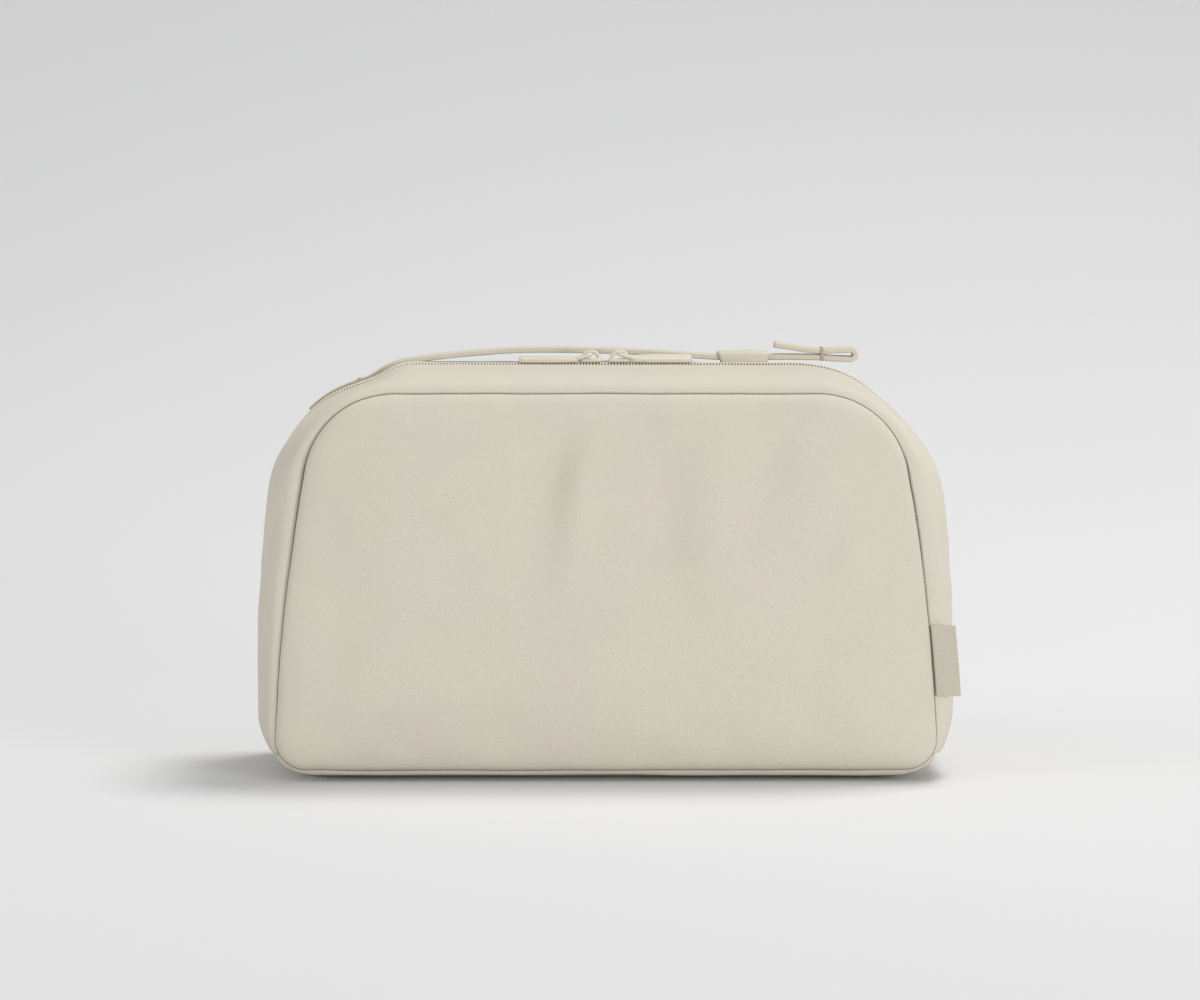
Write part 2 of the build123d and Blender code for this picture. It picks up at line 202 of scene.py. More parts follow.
# ---------------------------------------------------------------- cloth simulation
CLOTH_VOXEL = 0.005  # metres
CLOTH_FRAMES = 20
CLOTH_CAP = 3.2  # mm that a point may move
CLOTH_REACH = 5.0  # mm over which the moves are averaged
PROXY_INSET = 1.0
PROXY_PILLOW = 6.0


def proxy_grid():
    """A coarse closed shape of the whole bag, in metres, slightly under its full size."""
    turn = np.linspace(0, math.pi / 2, 9)
    half = [FLAT_Y + (SEAM_Y - FLAT_Y) * math.cos(a) for a in turn] + [9.0, 4.0]
    stations = [-y for y in half] + half[::-1]
    rings = []
    for y in stations:
        points, normals = closed_run(sizes_at(y))
        rings.append(at_depth(points - PROXY_INSET * normals, y))
    rings = np.array(rings)[:, ::3]
    caps = []
    for end, out in ((0, -1), (-1, 1)):
        edge = rings[end]
        for share in (0.05, 0.2, 0.45, 0.7, 1.0):
            ring = edge.copy()
            ring[:, 0] *= 1 - share
            ring[:, 2] += (PANEL_MIDDLE[1] - edge[:, 2]) * share
            ring[:, 1] = out * (SEAM_Y + PROXY_PILLOW * (1 - math.exp(-9.0 * share)))
            caps.append((end, ring))
    front = [ring for end, ring in caps if end == 0][::-1]
    back = [ring for end, ring in caps if end == -1]
    return np.array(front + list(rings) + back)


def seam_distance(points):
    """Mm from each point (mm) to the nearer panel seam, measured on the flat of the panel."""
    outline = closed_run(SEAM)[0][::2]
    flat = points[:, [0, 2]]
    near = np.min(np.linalg.norm(flat[:, None] - outline[None], axis=2), axis=1)
    return np.hypot(near, np.abs(np.abs(points[:, 1]) - SEAM_Y))


def evaluated_mesh(obj):
    """The object's mesh with its modifiers applied."""
    return bpy.data.meshes.new_from_object(obj.evaluated_get(bpy.context.evaluated_depsgraph_get()))


def points_of(mesh):
    """A mesh's vertices in mm."""
    points = np.empty(len(mesh.vertices) * 3)
    mesh.vertices.foreach_get("co", points)
    return points.reshape(-1, 3) / MM


def simulate_fabric():
    """Blow the bag's soft shape up as cloth held along its seams; the moves of its points."""
    grid = proxy_grid()
    rows, columns = grid.shape[:2]
    work = add_mesh("cloth_proxy", grid.reshape(-1, 3), grid_faces(rows, columns, wrap=True), None, None)
    remesh = work.modifiers.new("even", "REMESH")
    remesh.mode = "VOXEL"
    remesh.voxel_size = CLOTH_VOXEL
    bpy.context.view_layer.update()
    even = evaluated_mesh(work)
    work.modifiers.clear()
    work.data = even
    start = points_of(even)
    held = 1 - smoothstep(1.5, 9.0, seam_distance(start))
    zip_line = (1 - smoothstep(5.0, 12.0, np.abs(start[:, 1]))) * smoothstep(8.0, 20.0, start[:, 2])
    floor = 1 - smoothstep(2.0, 9.0, start[:, 2])
    held = np.maximum.reduce([held, zip_line, floor])
    group = work.vertex_groups.new(name="held")
    for index, weight in enumerate(held):
        group.add([index], float(weight), "REPLACE")
    cloth = work.modifiers.new("cloth", "CLOTH")
    settings = cloth.settings
    settings.quality = 6
    settings.mass = 0.25
    settings.tension_stiffness = 18
    settings.compression_stiffness = 18
    settings.shear_stiffness = 9
    settings.bending_stiffness = 1.6
    settings.use_pressure = True
    settings.uniform_pressure_force = 4.0
    settings.vertex_group_mass = "held"
    settings.pin_stiffness = 2.0
    settings.shrink_min = -0.035
    settings.effector_weights.gravity = 0.0
    cloth.point_cache.frame_start = 1
    cloth.point_cache.frame_end = CLOTH_FRAMES
    for number in range(1, CLOTH_FRAMES + 1):
        bpy.context.scene.frame_set(number)
    moves = points_of(evaluated_mesh(work)) - start
    bpy.context.scene.frame_set(1)
    bpy.data.objects.remove(work)
    length = np.linalg.norm(moves, axis=1)
    moves *= (np.tanh(length / CLOTH_CAP) * CLOTH_CAP / np.maximum(length, 1e-9))[:, None]
    return start, moves


class Softness:
    """How the simulated cloth moved near any point."""

    def __init__(self):
        self.tree = None
        start, self.moves = simulate_fabric()
        self.tree = kdtree.KDTree(len(start))
        for index, point in enumerate(start):
            self.tree.insert(point, index)
        self.tree.balance()

    def at(self, points, share=1.0):
        """Moves in mm at points of any grid shape, faded out by share."""
        flat = points.reshape(-1, 3)
        moves = np.zeros_like(flat)
        if self.tree is None:
            return moves.reshape(points.shape)
        for row, point in enumerate(flat):
            near = self.tree.find_n(point, 8)
            weights = np.array([math.exp(-((found[2] / CLOTH_REACH) ** 2)) for found in near]) + 1e-9
            picked = self.moves[[found[1] for found in near]]
            moves[row] = weights @ picked / weights.sum()
        return moves.reshape(points.shape) * np.reshape(share, (*np.shape(share), 1))


# ---------------------------------------------------------------- meshes
def add_mesh(name, verts, faces, uvs, material):
    """A mesh object from verts in mm; uvs, in metres, belong to the verts."""
    mesh = bpy.data.meshes.new(name)
    mesh.from_pydata([tuple(v * MM) for v in verts], [], faces)
    if uvs is not None:
        layer = mesh.uv_layers.new(name="cloth")
        index = np.empty(len(mesh.loops), int)
        mesh.loops.foreach_get("vertex_index", index)
        layer.data.foreach_set("uv", np.asarray(uvs)[index].ravel())
    mesh.validate()
    obj = bpy.data.objects.new(name, mesh)
    bpy.context.collection.objects.link(obj)
    mesh.shade_smooth()
    if material:
        mesh.materials.append(material)
    return obj


def grid_faces(rows, columns, start=0, flip=False, wrap=False):
    """Quads of a rows by columns grid of vertices."""
    faces = []
    for j in range(rows - 1):
        for i in range(columns if wrap else columns - 1):
            k = (i + 1) % columns
            quad = (
                start + j * columns + i,
                start + (j + 1) * columns + i,
                start + (j + 1) * columns + k,
                start + j * columns + k,
            )
            faces.append(quad[::-1] if flip else quad)
    return faces


def capped_grid_faces(rows, columns):
    """Quads round a stack of closed loops, with a face over each end."""
    last = (rows - 1) * columns
    ends = [tuple(range(columns)), tuple(last + k for k in range(columns - 1, -1, -1))]
    return grid_faces(rows, columns, wrap=True) + ends


def ring_faces(count, ring, closed):
    """Quads between neighbouring rings of a swept section, the other way round."""
    faces = []
    for j in range(count if closed else count - 1):
        k = (j + 1) % count
        for i in range(ring):
            m = (i + 1) % ring
            faces.append((j * ring + i, j * ring + m, k * ring + m, k * ring + i))
    return faces


def rim_faces(loop, offset, flip=False):
    """Quads joining a closed loop of vertices to the same loop offset vertices on."""
    faces = []
    for a, b in zip(loop, loop[1:] + loop[:1]):
        quad = (a, b, b + offset, a + offset)
        faces.append(quad[::-1] if flip else quad)
    return faces


def cloth_uvs(grid):
    """Distances in metres along the columns and rows of a grid, for the weave."""
    along = np.linalg.norm(np.diff(grid, axis=1), axis=2)
    down = np.linalg.norm(np.diff(grid, axis=0), axis=2)
    u = np.concatenate([np.zeros((len(grid), 1)), np.cumsum(along, axis=1)], axis=1)
    u = u - u[:, u.shape[1] // 2][:, None]
    v = np.concatenate([np.zeros((1, grid.shape[1])), np.cumsum(down, axis=0)], axis=0)
    return np.stack([u, v], axis=2).reshape(-1, 2) * MM


def shell(name, outer, inner, material, flip=False):
    """A closed sheet between two grids of the same size; outer's normals face out."""
    rows, columns = outer.shape[:2]
    count = rows * columns
    faces = grid_faces(rows, columns, 0, flip)
    faces += grid_faces(rows, columns, count, not flip)
    loop = list(range(columns))
    loop += [j * columns + columns - 1 for j in range(1, rows)]
    loop += [(rows - 1) * columns + i for i in range(columns - 2, -1, -1)]
    loop += [j * columns for j in range(rows - 2, 0, -1)]
    faces += rim_faces(loop, count, flip)
    uvs = cloth_uvs(outer)
    verts = np.vstack([outer.reshape(-1, 3), inner.reshape(-1, 3)])
    return add_mesh(name, verts, faces, np.vstack([uvs, uvs]), material)


def face_out(obj):
    """Turn all faces of a closed mesh outwards."""
    work = bmesh.new()
    work.from_mesh(obj.data)
    bmesh.ops.recalc_face_normals(work, faces=work.faces)
    work.to_mesh(obj.data)
    work.free()


def register(obj, slot, *nodes, body=None, foam=None):
    """Hide the CAD nodes that a piece stands for and attach it to its body, if it has one; slot and foam are
    not used.
    """
    if nodes:
        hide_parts(*nodes)
    if body:
        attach(obj, body)
    return obj


def shoulder_dip(places):
    """How far in mm the gusset has settled round each shoulder, nothing at the seams."""
    depth = np.zeros(len(places))
    for x, reach, amount in SHOULDER_DIPS:
        depth += amount * np.exp(-(((places[:, 0] - x) / reach) ** 2))
    clear_of_seam = smoothstep(2.0, 18.0, SEAM_Y - np.abs(places[:, 1]))
    past_sliders = smoothstep(74.5, 97.0, np.abs(places[:, 0]))
    return depth * past_sliders * clear_of_seam * smoothstep(100.0, 130.0, places[:, 2])


def settled(points, normals, y):
    """A run of the outline at depth y, lowered by the shoulder dips."""
    return points - normals * shoulder_dip(at_depth(points, y))[:, None]


def lay(stations, run, offset):
    """Grid of points: each station y has one run of the outline, offset outwards.

    offset(y, points, normals) gives mm for each point of the run.
    """
    rows = []
    for y in stations:
        points, normals = run(sizes_at(y))
        places = at_depth(points, y)
        out = offset(y, places, normals) - shoulder_dip(places)
        rows.append(at_depth(points + normals * np.reshape(out, (-1, 1)), y))
    return np.array(rows)


# ---------------------------------------------------------------- materials
class Nodes:
    """A material's node tree, with short ways to add and join nodes."""

    def __init__(self, name):
        self.material = bpy.data.materials.new(name)
        self.material.use_nodes = True
        self.tree = self.material.node_tree
        self.bsdf = self.tree.nodes["Principled BSDF"]

    def feed(self, socket, value):
        """Link the value if it's another node's output, or else set it."""
        if isinstance(value, bpy.types.NodeSocket):
            self.tree.links.new(value, socket)
        else:
            socket.default_value = value

    def node(self, kind, inputs=None, **settings):
        made = self.tree.nodes.new(kind)
        for key, value in settings.items():
            setattr(made, key, value)
        for key, value in (inputs or {}).items():
            self.feed(made.inputs[key], value)
        return made

    def maths(self, operation, first, second=0.0):
        return self.node("ShaderNodeMath", {0: first, 1: second}, operation=operation).outputs[0]

    def mix(self, factor, first, second):
        made = self.node("ShaderNodeMix", {"Factor": factor}, data_type="RGBA")
        self.feed(made.inputs[6], first)
        self.feed(made.inputs[7], second)
        return made.outputs[2]

    def set(self, **values):
        for key, value in values.items():
            self.feed(self.bsdf.inputs[key.replace("_", " ")], value)


def shade(colour, factor):
    """A colour made lighter or darker, with its alpha."""
    return (*[c * factor for c in colour], 1.0)


def woven(name, colour, pitch=0.0006, depth=0.0001, twill=True, ribs=0.0, sheen=0.12, mottle=0.05):
    """Woven cloth: yarns at the given pitch, slubs, and soft mottling. pitch, depth, ribs in metres."""
    n = Nodes(name)
    uv = n.node("ShaderNodeUVMap", uv_map="cloth").outputs[0]
    place = n.node("ShaderNodeTexCoord").outputs["Object"]
    split = n.node("ShaderNodeSeparateXYZ", {0: uv})
    turn = 2 * math.pi / pitch
    warp = n.maths("SINE", n.maths("MULTIPLY", split.outputs[0], turn))
    weft = n.maths("SINE", n.maths("MULTIPLY", split.outputs[1], turn))
    if twill:
        steps = n.maths("ADD", split.outputs[0], split.outputs[1])
        diagonal = n.maths("SINE", n.maths("MULTIPLY", steps, turn / 2))
        yarns = n.maths("ADD", n.maths("MULTIPLY", n.maths("MULTIPLY", warp, weft), 0.4), diagonal)
    else:
        yarns = n.maths("MULTIPLY", warp, weft)
    if ribs:
        rib = n.maths("SINE", n.maths("MULTIPLY", split.outputs[1], 2 * math.pi / ribs))
        yarns = n.maths("ADD", yarns, n.maths("MULTIPLY", rib, 1.5))
    slub = n.node("ShaderNodeTexNoise", {"Vector": place, "Scale": 1400.0, "Detail": 3.0}).outputs[0]
    cloud = n.node("ShaderNodeTexNoise", {"Vector": place, "Scale": 38.0, "Detail": 4.0, "Roughness": 0.6})
    grain = n.maths("ADD", n.maths("MULTIPLY", yarns, 0.25), n.maths("MULTIPLY", slub, 1.2))
    bump = n.node("ShaderNodeBump", {"Height": grain, "Strength": 0.55, "Distance": depth})
    grey = (colour[0] * 0.993, colour[1] * 0.985, colour[2] * 1.012, 1.0)
    warm = (colour[0] * 1.01, colour[1] * 1.01, colour[2] * 0.99, 1.0)
    drift = n.node("ShaderNodeTexNoise", {"Vector": place, "Scale": 16.0, "Detail": 2.0}).outputs[0]
    drift = n.node("ShaderNodeMapRange", {0: drift, 1: 0.38, 2: 0.62}).outputs[0]
    toned = n.mix(drift, grey, warm)
    shaded = n.node("ShaderNodeMapRange", {0: cloud.outputs[0], 3: 1 - mottle, 4: 1 + mottle}).outputs[0]
    low = n.node("ShaderNodeVectorMath", {0: toned}, operation="SCALE")
    n.feed(low.inputs[3], shaded)
    low = low.outputs[0]
    fleck = n.maths("MULTIPLY", n.maths("ADD", n.maths("MULTIPLY", yarns, 0.12), slub), 0.5)
    tone = n.mix(fleck, shade(colour, 0.86), low)
    n.set(Normal=bump.outputs[0])
    n.set(Base_Color=n.mix(0.45, low, tone), Roughness=0.88)
    n.set(Specular_IOR_Level=0.22, Sheen_Weight=sheen, Sheen_Roughness=0.5)
    n.set(Sheen_Tint=shade(colour, 1.15))
    return n.material


def moulded(name, colour, roughness, grain=900.0, depth=0.00003):
    """Moulded plastic or painted metal: fine texture, rubbed edges, faint smears in the gloss."""
    n = Nodes(name)
    place = n.node("ShaderNodeTexCoord").outputs["Object"]
    fine = n.node("ShaderNodeTexNoise", {"Vector": place, "Scale": grain, "Detail": 2.0}).outputs[0]
    broad = n.node("ShaderNodeTexNoise", {"Vector": place, "Scale": 60.0, "Detail": 3.0}).outputs[0]
    edges = n.node("ShaderNodeNewGeometry").outputs["Pointiness"]
    rubbed = n.node("ShaderNodeMapRange", {0: edges, 1: 0.52, 2: 0.62, 3: 0.0, 4: 0.35}).outputs[0]
    bump = n.node("ShaderNodeBump", {"Height": fine, "Strength": 0.35, "Distance": depth})
    base = n.mix(broad, shade(colour, 0.95), shade(colour, 1.05))
    n.set(Normal=bump.outputs[0])
    smear = n.node("ShaderNodeMapRange", {0: broad, 3: roughness - 0.06, 4: roughness + 0.1}).outputs[0]
    n.set(Base_Color=n.mix(rubbed, base, shade(colour, 1.3)), Roughness=smear)
    return n.material


STONE = (0.60, 0.558, 0.468)
shell_cloth = woven("shell_cloth", STONE)
gusset_cloth = woven("gusset_cloth", (0.61, 0.57, 0.48))
strap_cloth = woven("strap_cloth", (0.62, 0.575, 0.475), pitch=0.00045)
lining_cloth = woven("lining_cloth", (0.50, 0.465, 0.39), pitch=0.0003, twill=False, sheen=0.25)
binding_cloth = woven("binding_cloth", (0.43, 0.40, 0.33), pitch=0.0005, twill=False, ribs=0.0013)
tape_cloth = woven("tape_cloth", (0.57, 0.525, 0.425), pitch=0.0004, twill=False, ribs=0.0011)
label_cloth = woven("label_cloth", (0.52, 0.48, 0.395), pitch=0.00035, twill=False, ribs=0.0007)
thread = woven("thread", (0.47, 0.43, 0.35), pitch=0.0003)
# Painted shade: a dark brown colour for the cord in the panel seams, standing in for the shadow in the seams'
# creases.
seam_shadow_cord = woven("seam_shadow_cord", (0.23, 0.20, 0.15), pitch=0.0003, sheen=0.0)
coil_nylon = moulded("coil_nylon", (0.64, 0.60, 0.50), roughness=0.5)
painted = moulded("painted_metal", (0.60, 0.56, 0.46), roughness=0.42)
tab_rubber = moulded("tab_rubber", (0.62, 0.575, 0.475), roughness=0.6, grain=1600.0)


# ---------------------------------------------------------------- gusset strips
# How far each edge of the soft pieces is drawn in.
SEAM_TUCK = 1.4
BASE_TUCK = 1.7
CORNER_TUCK = 1.4
HEM_TUCK = 0.9


def strip_stations(side):
    """Depths from the seam to the slot edge, closer together near the seam and the edge."""
    turn = np.linspace(0, math.pi / 2, 20)
    rounded = FLAT_Y + (SEAM_Y - FLAT_Y) * np.cos(turn)
    hem = [12.0, 10.0, 8.4, 7.3, 6.6, 6.2, SLOT_Y]
    return [side * y for y in [SEAM_Y, SEAM_Y - 0.15, *rounded[1:], *hem]]


def seam_wave(places):
    """Slight puckering of the seam line, the same for the panel and the strip."""
    return 0.28 * lumps(places, 30.0, 1) + 0.13 * lumps(places, 9.0, 2)


def strip_softness(side):
    """Outward mm on a gusset strip: tucked seam, padded roll, hem, and lumps."""
    seed = 11 if side < 0 else 17

    def offset(y, places, normals):
        depth = abs(y)
        out = seam_wave(places) * (1 - smoothstep(0.0, 8.0, SEAM_Y - depth))
        out = out - SEAM_TUCK * (1 - smoothstep(0.0, 1.1, SEAM_Y - depth))
        roll = math.sin(math.pi * min(1.0, max(0.0, (SEAM_Y - depth) / (SEAM_Y - SLOT_Y))))
        top = smoothstep(0.3, 0.95, normals[:, 1])
        under_tail = smoothstep(34.0, 46.0, places[:, 0]) * (1 - smoothstep(104.0, 114.0, places[:, 0]))
        sag = 1.4 if side < 0 else 0.4 + 1.3 * under_tail
        out = out + roll * (0.5 - sag * top)
        hem = 1 - smoothstep(0.0, 1.6, depth - SLOT_Y)
        out = out - HEM_TUCK * hem**2 - 0.25 * (1 - smoothstep(2.0, 9.0, depth - SLOT_Y))
        soft = 0.6 * lumps(places, 46.0, seed) + 0.28 * lumps(places, 15.0, seed + 1)
        out = out + soft * smoothstep(0.0, 10.0, SEAM_Y - depth) * smoothstep(0.0, 12.0, depth - SLOT_Y + 4)
        low = 1 - smoothstep(0.0, 2.2, places[:, 2] - BASE_SEAM_Z)
        return out - CORNER_TUCK * low**2

    return offset


def inner_offset(amount):
    """An inside face, level with no lumps, amount mm below the outside."""

    def offset(y, places, normals):
        return np.full(len(places), -amount)

    return offset


def quilted(y, places, normals):
    """The lining's inside face on a gusset strip, a little uneven over its padding."""
    return -PADDED - LAYER_GAP + 0.25 * lumps(places, 30.0, 5) - 0.35


softness = Softness()
pieces = {}
for side, half in ((-1, "front"), (1, "rear")):
    stations = strip_stations(side)
    flip = side > 0
    outer = lay(stations, upper_run, strip_softness(side))
    edge = np.abs(outer[:, :, 1])
    loose = smoothstep(0.5, 9.0, SEAM_Y - edge) * smoothstep(1.0, 9.0, edge - SLOT_Y)
    loose = loose * smoothstep(1.0, 12.0, outer[:, :, 2] - BASE_SEAM_Z)
    outer = outer + softness.at(outer, loose * (0.34 - 0.2 * smoothstep(110.0, 150.0, outer[:, :, 2])))
    inner = lay(stations, upper_run, inner_offset(PADDED))
    strip = shell(f"{half}_zip_strip_soft", outer, inner, gusset_cloth, flip)
    register(strip, "gusset", f"{half}_zip_strip", f"{half}_strip_padding", foam=0.55)

    depths = [side * y for y in np.linspace(SEAM_Y - 0.2, TAPE_Y, 22)]
    lining_outer = lay(depths, upper_run, inner_offset(PADDED + LAYER_GAP))
    lining_inner = lay(depths, upper_run, quilted)
    lining = shell(f"{half}_strip_lining_soft", lining_inner, lining_outer, lining_cloth, not flip)
    register(lining, "lining", f"{half}_strip_lining")

    edges = [side * y for y in (TAPE_Y, 7.5, 6.0, 4.6, 3.4, 2.2, 1.5, 0.9)]
    tape_outer = lay(edges, upper_run, inner_offset(FABRIC + LAYER_GAP))
    tape_inner = lay(edges, upper_run, inner_offset(FABRIC + 0.6))
    tape = shell(f"{half}_zip_tape_woven", tape_outer, tape_inner, tape_cloth, flip)
    register(tape, "zip_tape", f"{half}_zip_tape")
    pieces[half] = [strip, lining, tape]


# ---------------------------------------------------------------- base
def base_stations():
    """Depths from the front seam to the back one, closer together near the seams."""
    turn = np.linspace(0, math.pi / 2, 10)
    rounded = list(BASE_FLAT_Y + (SEAM_Y - BASE_FLAT_Y) * np.cos(turn))
    flat = list(np.linspace(BASE_FLAT_Y, 0, 9))[1:]
    near = [SEAM_Y, SEAM_Y - 0.15, *rounded[1:], *flat]
    return [-y for y in near] + near[::-1][1:]


BASE_CURL = 1.5  # how far the base's long edges curl up off the floor
BASE_CURL_WIDTH = 17.0


def base_softness(y, places, normals):
    """Outward mm on the base: tucked seam, edges curled up off the floor, and lumps."""
    edge = SEAM_Y - abs(y)
    out = seam_wave(places) * (1 - smoothstep(0.0, 5.0, edge)) * 0.6
    out = out - BASE_TUCK * (1 - smoothstep(0.0, 1.3, edge))
    high = 1 - smoothstep(0.0, 2.2, BASE_SEAM_Z - places[:, 2])
    lifted = smoothstep(2.0, 6.0, places[:, 2])
    curl = math.sin(math.pi * min(1.0, max(0.0, edge / BASE_CURL_WIDTH)))
    out = out - BASE_CURL * curl * (1 + 0.6 * lumps(places, 34.0, 29)) * (1 - lifted)
    return out - CORNER_TUCK * high**2 + 0.5 * lifted * lumps(places, 25.0, 23)


def base_run(sizes):
    """The same run as lower_run, from left to right."""
    points, normals = lower_run(sizes)
    return points[::-1], normals[::-1]


stations = base_stations()
base = shell(
    "base_panel_soft",
    lay(stations, base_run, base_softness),
    lay(stations, base_run, inner_offset(PADDED)),
    shell_cloth,
)
register(base, "shell", "base_panel", "base_padding", foam=0.5)

base_lining = shell(
    "base_lining_soft",
    lay(stations[1:-1], base_run, inner_offset(PADDED + LAYER_GAP)),
    lay(stations[1:-1], base_run, lambda y, p, n: -WALL - 0.2 * lumps(p, 35.0, 6)),
    lining_cloth,
)
register(base_lining, "lining", "base_lining")


# ---------------------------------------------------------------- panels
PILLOW_HEIGHT = 7.2
PILLOW_EDGE = 7.0
PANEL_SWELL = 0.5  # share of the simulated swelling that the panels keep
RING_STEPS = (0.0, 0.003, 0.009, 0.018, 0.03, 0.05, 0.075, 0.11, 0.15, 0.20, 0.26, 0.33)

# Broad soft folds in the front: centre x and z, reach along and across, tilt, height.
FRONT_FOLDS = (
    (-24.0, 116.0, 24.0, 7.5, 82.0, -1.5),
    (-10.0, 112.0, 34.0, 7.0, 82.0, 1.1),
    (-18.0, 132.0, 16.0, 8.0, 62.0, -0.7),
    (22.0, 110.0, 42.0, 12.0, 97.0, -1.5),
    (44.0, 96.0, 40.0, 13.0, 96.0, 0.9),
    (62.0, 122.0, 34.0, 9.0, 74.0, -0.9),
    (86.0, 78.0, 34.0, 12.0, 66.0, -1.3),
    (100.0, 100.0, 34.0, 6.5, 60.0, 1.2),
    (112.0, 84.0, 26.0, 5.5, 54.0, -1.1),
    (110.0, 112.0, 20.0, 5.0, 52.0, -0.8),
    (-86.0, 92.0, 46.0, 16.0, 104.0, 0.9),
    (-110.0, 66.0, 40.0, 9.0, 96.0, -0.9),
    (-62.0, 40.0, 40.0, 14.0, 18.0, 0.7),
    (64.0, 36.0, 40.0, 12.0, -14.0, -0.8),
)
# The same for the back, which the photograph doesn't show.
BACK_FOLDS = (
    (30.0, 112.0, 40.0, 12.0, 76.0, -1.3),
    (-46.0, 98.0, 46.0, 14.0, 98.0, 0.7),
    (88.0, 70.0, 40.0, 12.0, 84.0, 1.0),
    (-96.0, 60.0, 40.0, 11.0, 110.0, -0.7),
)
FOLD_STRENGTH = 2.2  # all heights above are multiplied by this


def fold_height(x, z, folds):
    """Sum of long smooth ridges and dents."""
    height = np.zeros_like(x)
    for cx, cz, along, across, tilt, amount in folds:
        c, s = math.cos(math.radians(tilt)), math.sin(math.radians(tilt))
        u = ((x - cx) * c + (z - cz) * s) / along
        v = (-(x - cx) * s + (z - cz) * c) / across
        height += FOLD_STRENGTH * amount * np.exp(-(u**2 + v**2))
    return height


def pillow(distance):
    """How far a panel stands out, distance mm in from its seam."""
    return PILLOW_HEIGHT * (1 - np.exp(-((distance / PILLOW_EDGE) ** 0.62)))


def panel_rings(side, folds, seed):
    """Grid of rings from the seam to the middle line; column 0 is the top middle."""
    outline, normals = closed_run(SEAM)
    outline = outline + normals * (seam_wave(at_depth(outline, side * SEAM_Y)) - 0.35)[:, None]
    centre = np.column_stack([
        np.clip(outline[:, 0] * 0.42, -PANEL_MIDDLE[0], PANEL_MIDDLE[0]),
        np.full(len(outline), PANEL_MIDDLE[1]),
    ])
    steps = list(RING_STEPS) + list(np.linspace(0.40, 1.0, 13))
    rings = []
    for step in steps:
        flat = outline + (centre - outline) * step
        distance = np.linalg.norm(flat - outline, axis=1)
        x, z = flat[:, 0], flat[:, 1]
        inside = smoothstep(3.0, 30.0, distance)
        near = at_depth(flat, side * SEAM_Y)
        out = pillow(distance) + inside * fold_height(x, z, folds)
        out += 0.55 * lumps(near, 40.0, seed) * inside
        out += 0.22 * lumps(near, 15.0, seed + 1) * smoothstep(1.0, 6.0, distance)
        rings.append(np.column_stack([x, side * (SEAM_Y + out), z]))
    return np.array(rings)


def closed_panel(name, rings, back_y, material, flip):
    """A panel from its rings, closed by a flat inside face at back_y."""
    rows, columns = rings.shape[:2]
    inner = rings.copy()
    inner[:, :, 1] = back_y
    count = rows * columns
    faces = grid_faces(rows, columns, 0, flip, wrap=True)
    faces += grid_faces(rows, columns, count, not flip, wrap=True)
    faces += rim_faces(list(range(columns)), count, flip)
    verts = np.vstack([rings.reshape(-1, 3), inner.reshape(-1, 3)])
    uvs = verts[:, [0, 2]] * MM
    obj = add_mesh(name, verts, faces, uvs, material)
    work = bmesh.new()
    work.from_mesh(obj.data)
    bmesh.ops.remove_doubles(work, verts=work.verts, dist=0.00002)
    work.to_mesh(obj.data)
    work.free()
    face_out(obj)
    return obj


for side, half, body, folds, seed in (
    (-1, "front", "front_flap", FRONT_FOLDS, 31),
    (1, "back", "bag_body", BACK_FOLDS, 37),
):
    rings = panel_rings(side, folds, seed)
    inward = np.linalg.norm((rings - rings[0])[:, :, [0, 2]], axis=2)
    moves = softness.at(rings, smoothstep(1.0, 14.0, inward))
    rings = rings + moves * np.array([0.1, PANEL_SWELL, 0.1])
    rings[:, :, 1] = side * np.maximum(side * rings[:, :, 1], SEAM_Y + 0.4)
    panel = closed_panel(f"{half}_panel_soft", rings, side * (SEAM_Y + 0.35), shell_cloth, side > 0)
    register(panel, "shell", f"{half}_panel", f"{half}_panel_padding", body=body, foam=0.5)

    inside = rings.copy()
    inside[:, :, 1] = side * SEAM_Y
    inside[:, :, 1] = side * (SEAM_Y - 0.25 + 0.35 * lumps(inside, 34.0, seed + 4))
    lining = closed_panel(f"{half}_panel_lining_soft", inside, side * (SEAM_Y + 0.33), lining_cloth, side < 0)
    register(lining, "lining", f"{half}_panel_lining", body=body)


# ---------------------------------------------------------------- tubes and swept strips
def tube(path, section, closed=False, up=(0, 0, 1), capped=True):
    """Verts and faces of a section of (across, up) points swept along a path of 3-D points.

    up is one direction for the whole path, or one for each of its points.
    """
    path = np.asarray(path, float)
    section = np.asarray(section, float)
    count = len(path)
    ahead = np.roll(path, -1, axis=0) - np.roll(path, 1, axis=0)
    if not closed:
        ahead[0], ahead[-1] = path[1] - path[0], path[-1] - path[-2]
    ahead /= np.linalg.norm(ahead, axis=1)[:, None]
    across = np.cross(ahead, np.broadcast_to(np.asarray(up, float), (count, 3)))
    across /= np.linalg.norm(across, axis=1)[:, None]
    above = np.cross(across, ahead)
    verts = path[:, None] + section[None, :, :1] * across[:, None] + section[None, :, 1:] * above[:, None]
    ring = len(section)
    faces = ring_faces(count, ring, closed)
    if capped and not closed:
        faces.append(tuple(range(ring - 1, -1, -1)))
        faces.append(tuple((count - 1) * ring + i for i in range(ring)))
    return verts.reshape(-1, 3), faces


def squarish(value, power):
    """A sine or cosine pushed towards 1 or -1, which flattens the sides of a round outline."""
    return math.copysign(abs(value) ** power, value)


def quarter_turn(y, z, radius, start, count):
    """Points (y, z) round a quarter circle, from start in half turns."""
    turns = np.linspace(start * math.pi, (start + 0.5) * math.pi, count)
    return [(y + radius * math.cos(t), z + radius * math.sin(t)) for t in turns]


def round_section(radius, sides):
    """Points round a circle."""
    turns = 2 * math.pi * np.arange(sides) / sides
    return [(radius * math.cos(a), radius * math.sin(a)) for a in turns]


def join(parts):
    """Several (verts, faces) as one."""
    verts, faces, start = [], [], 0
    for points, quads in parts:
        verts.append(points)
        faces += [tuple(start + i for i in quad) for quad in quads]
        start += len(points)
    return np.vstack(verts), faces


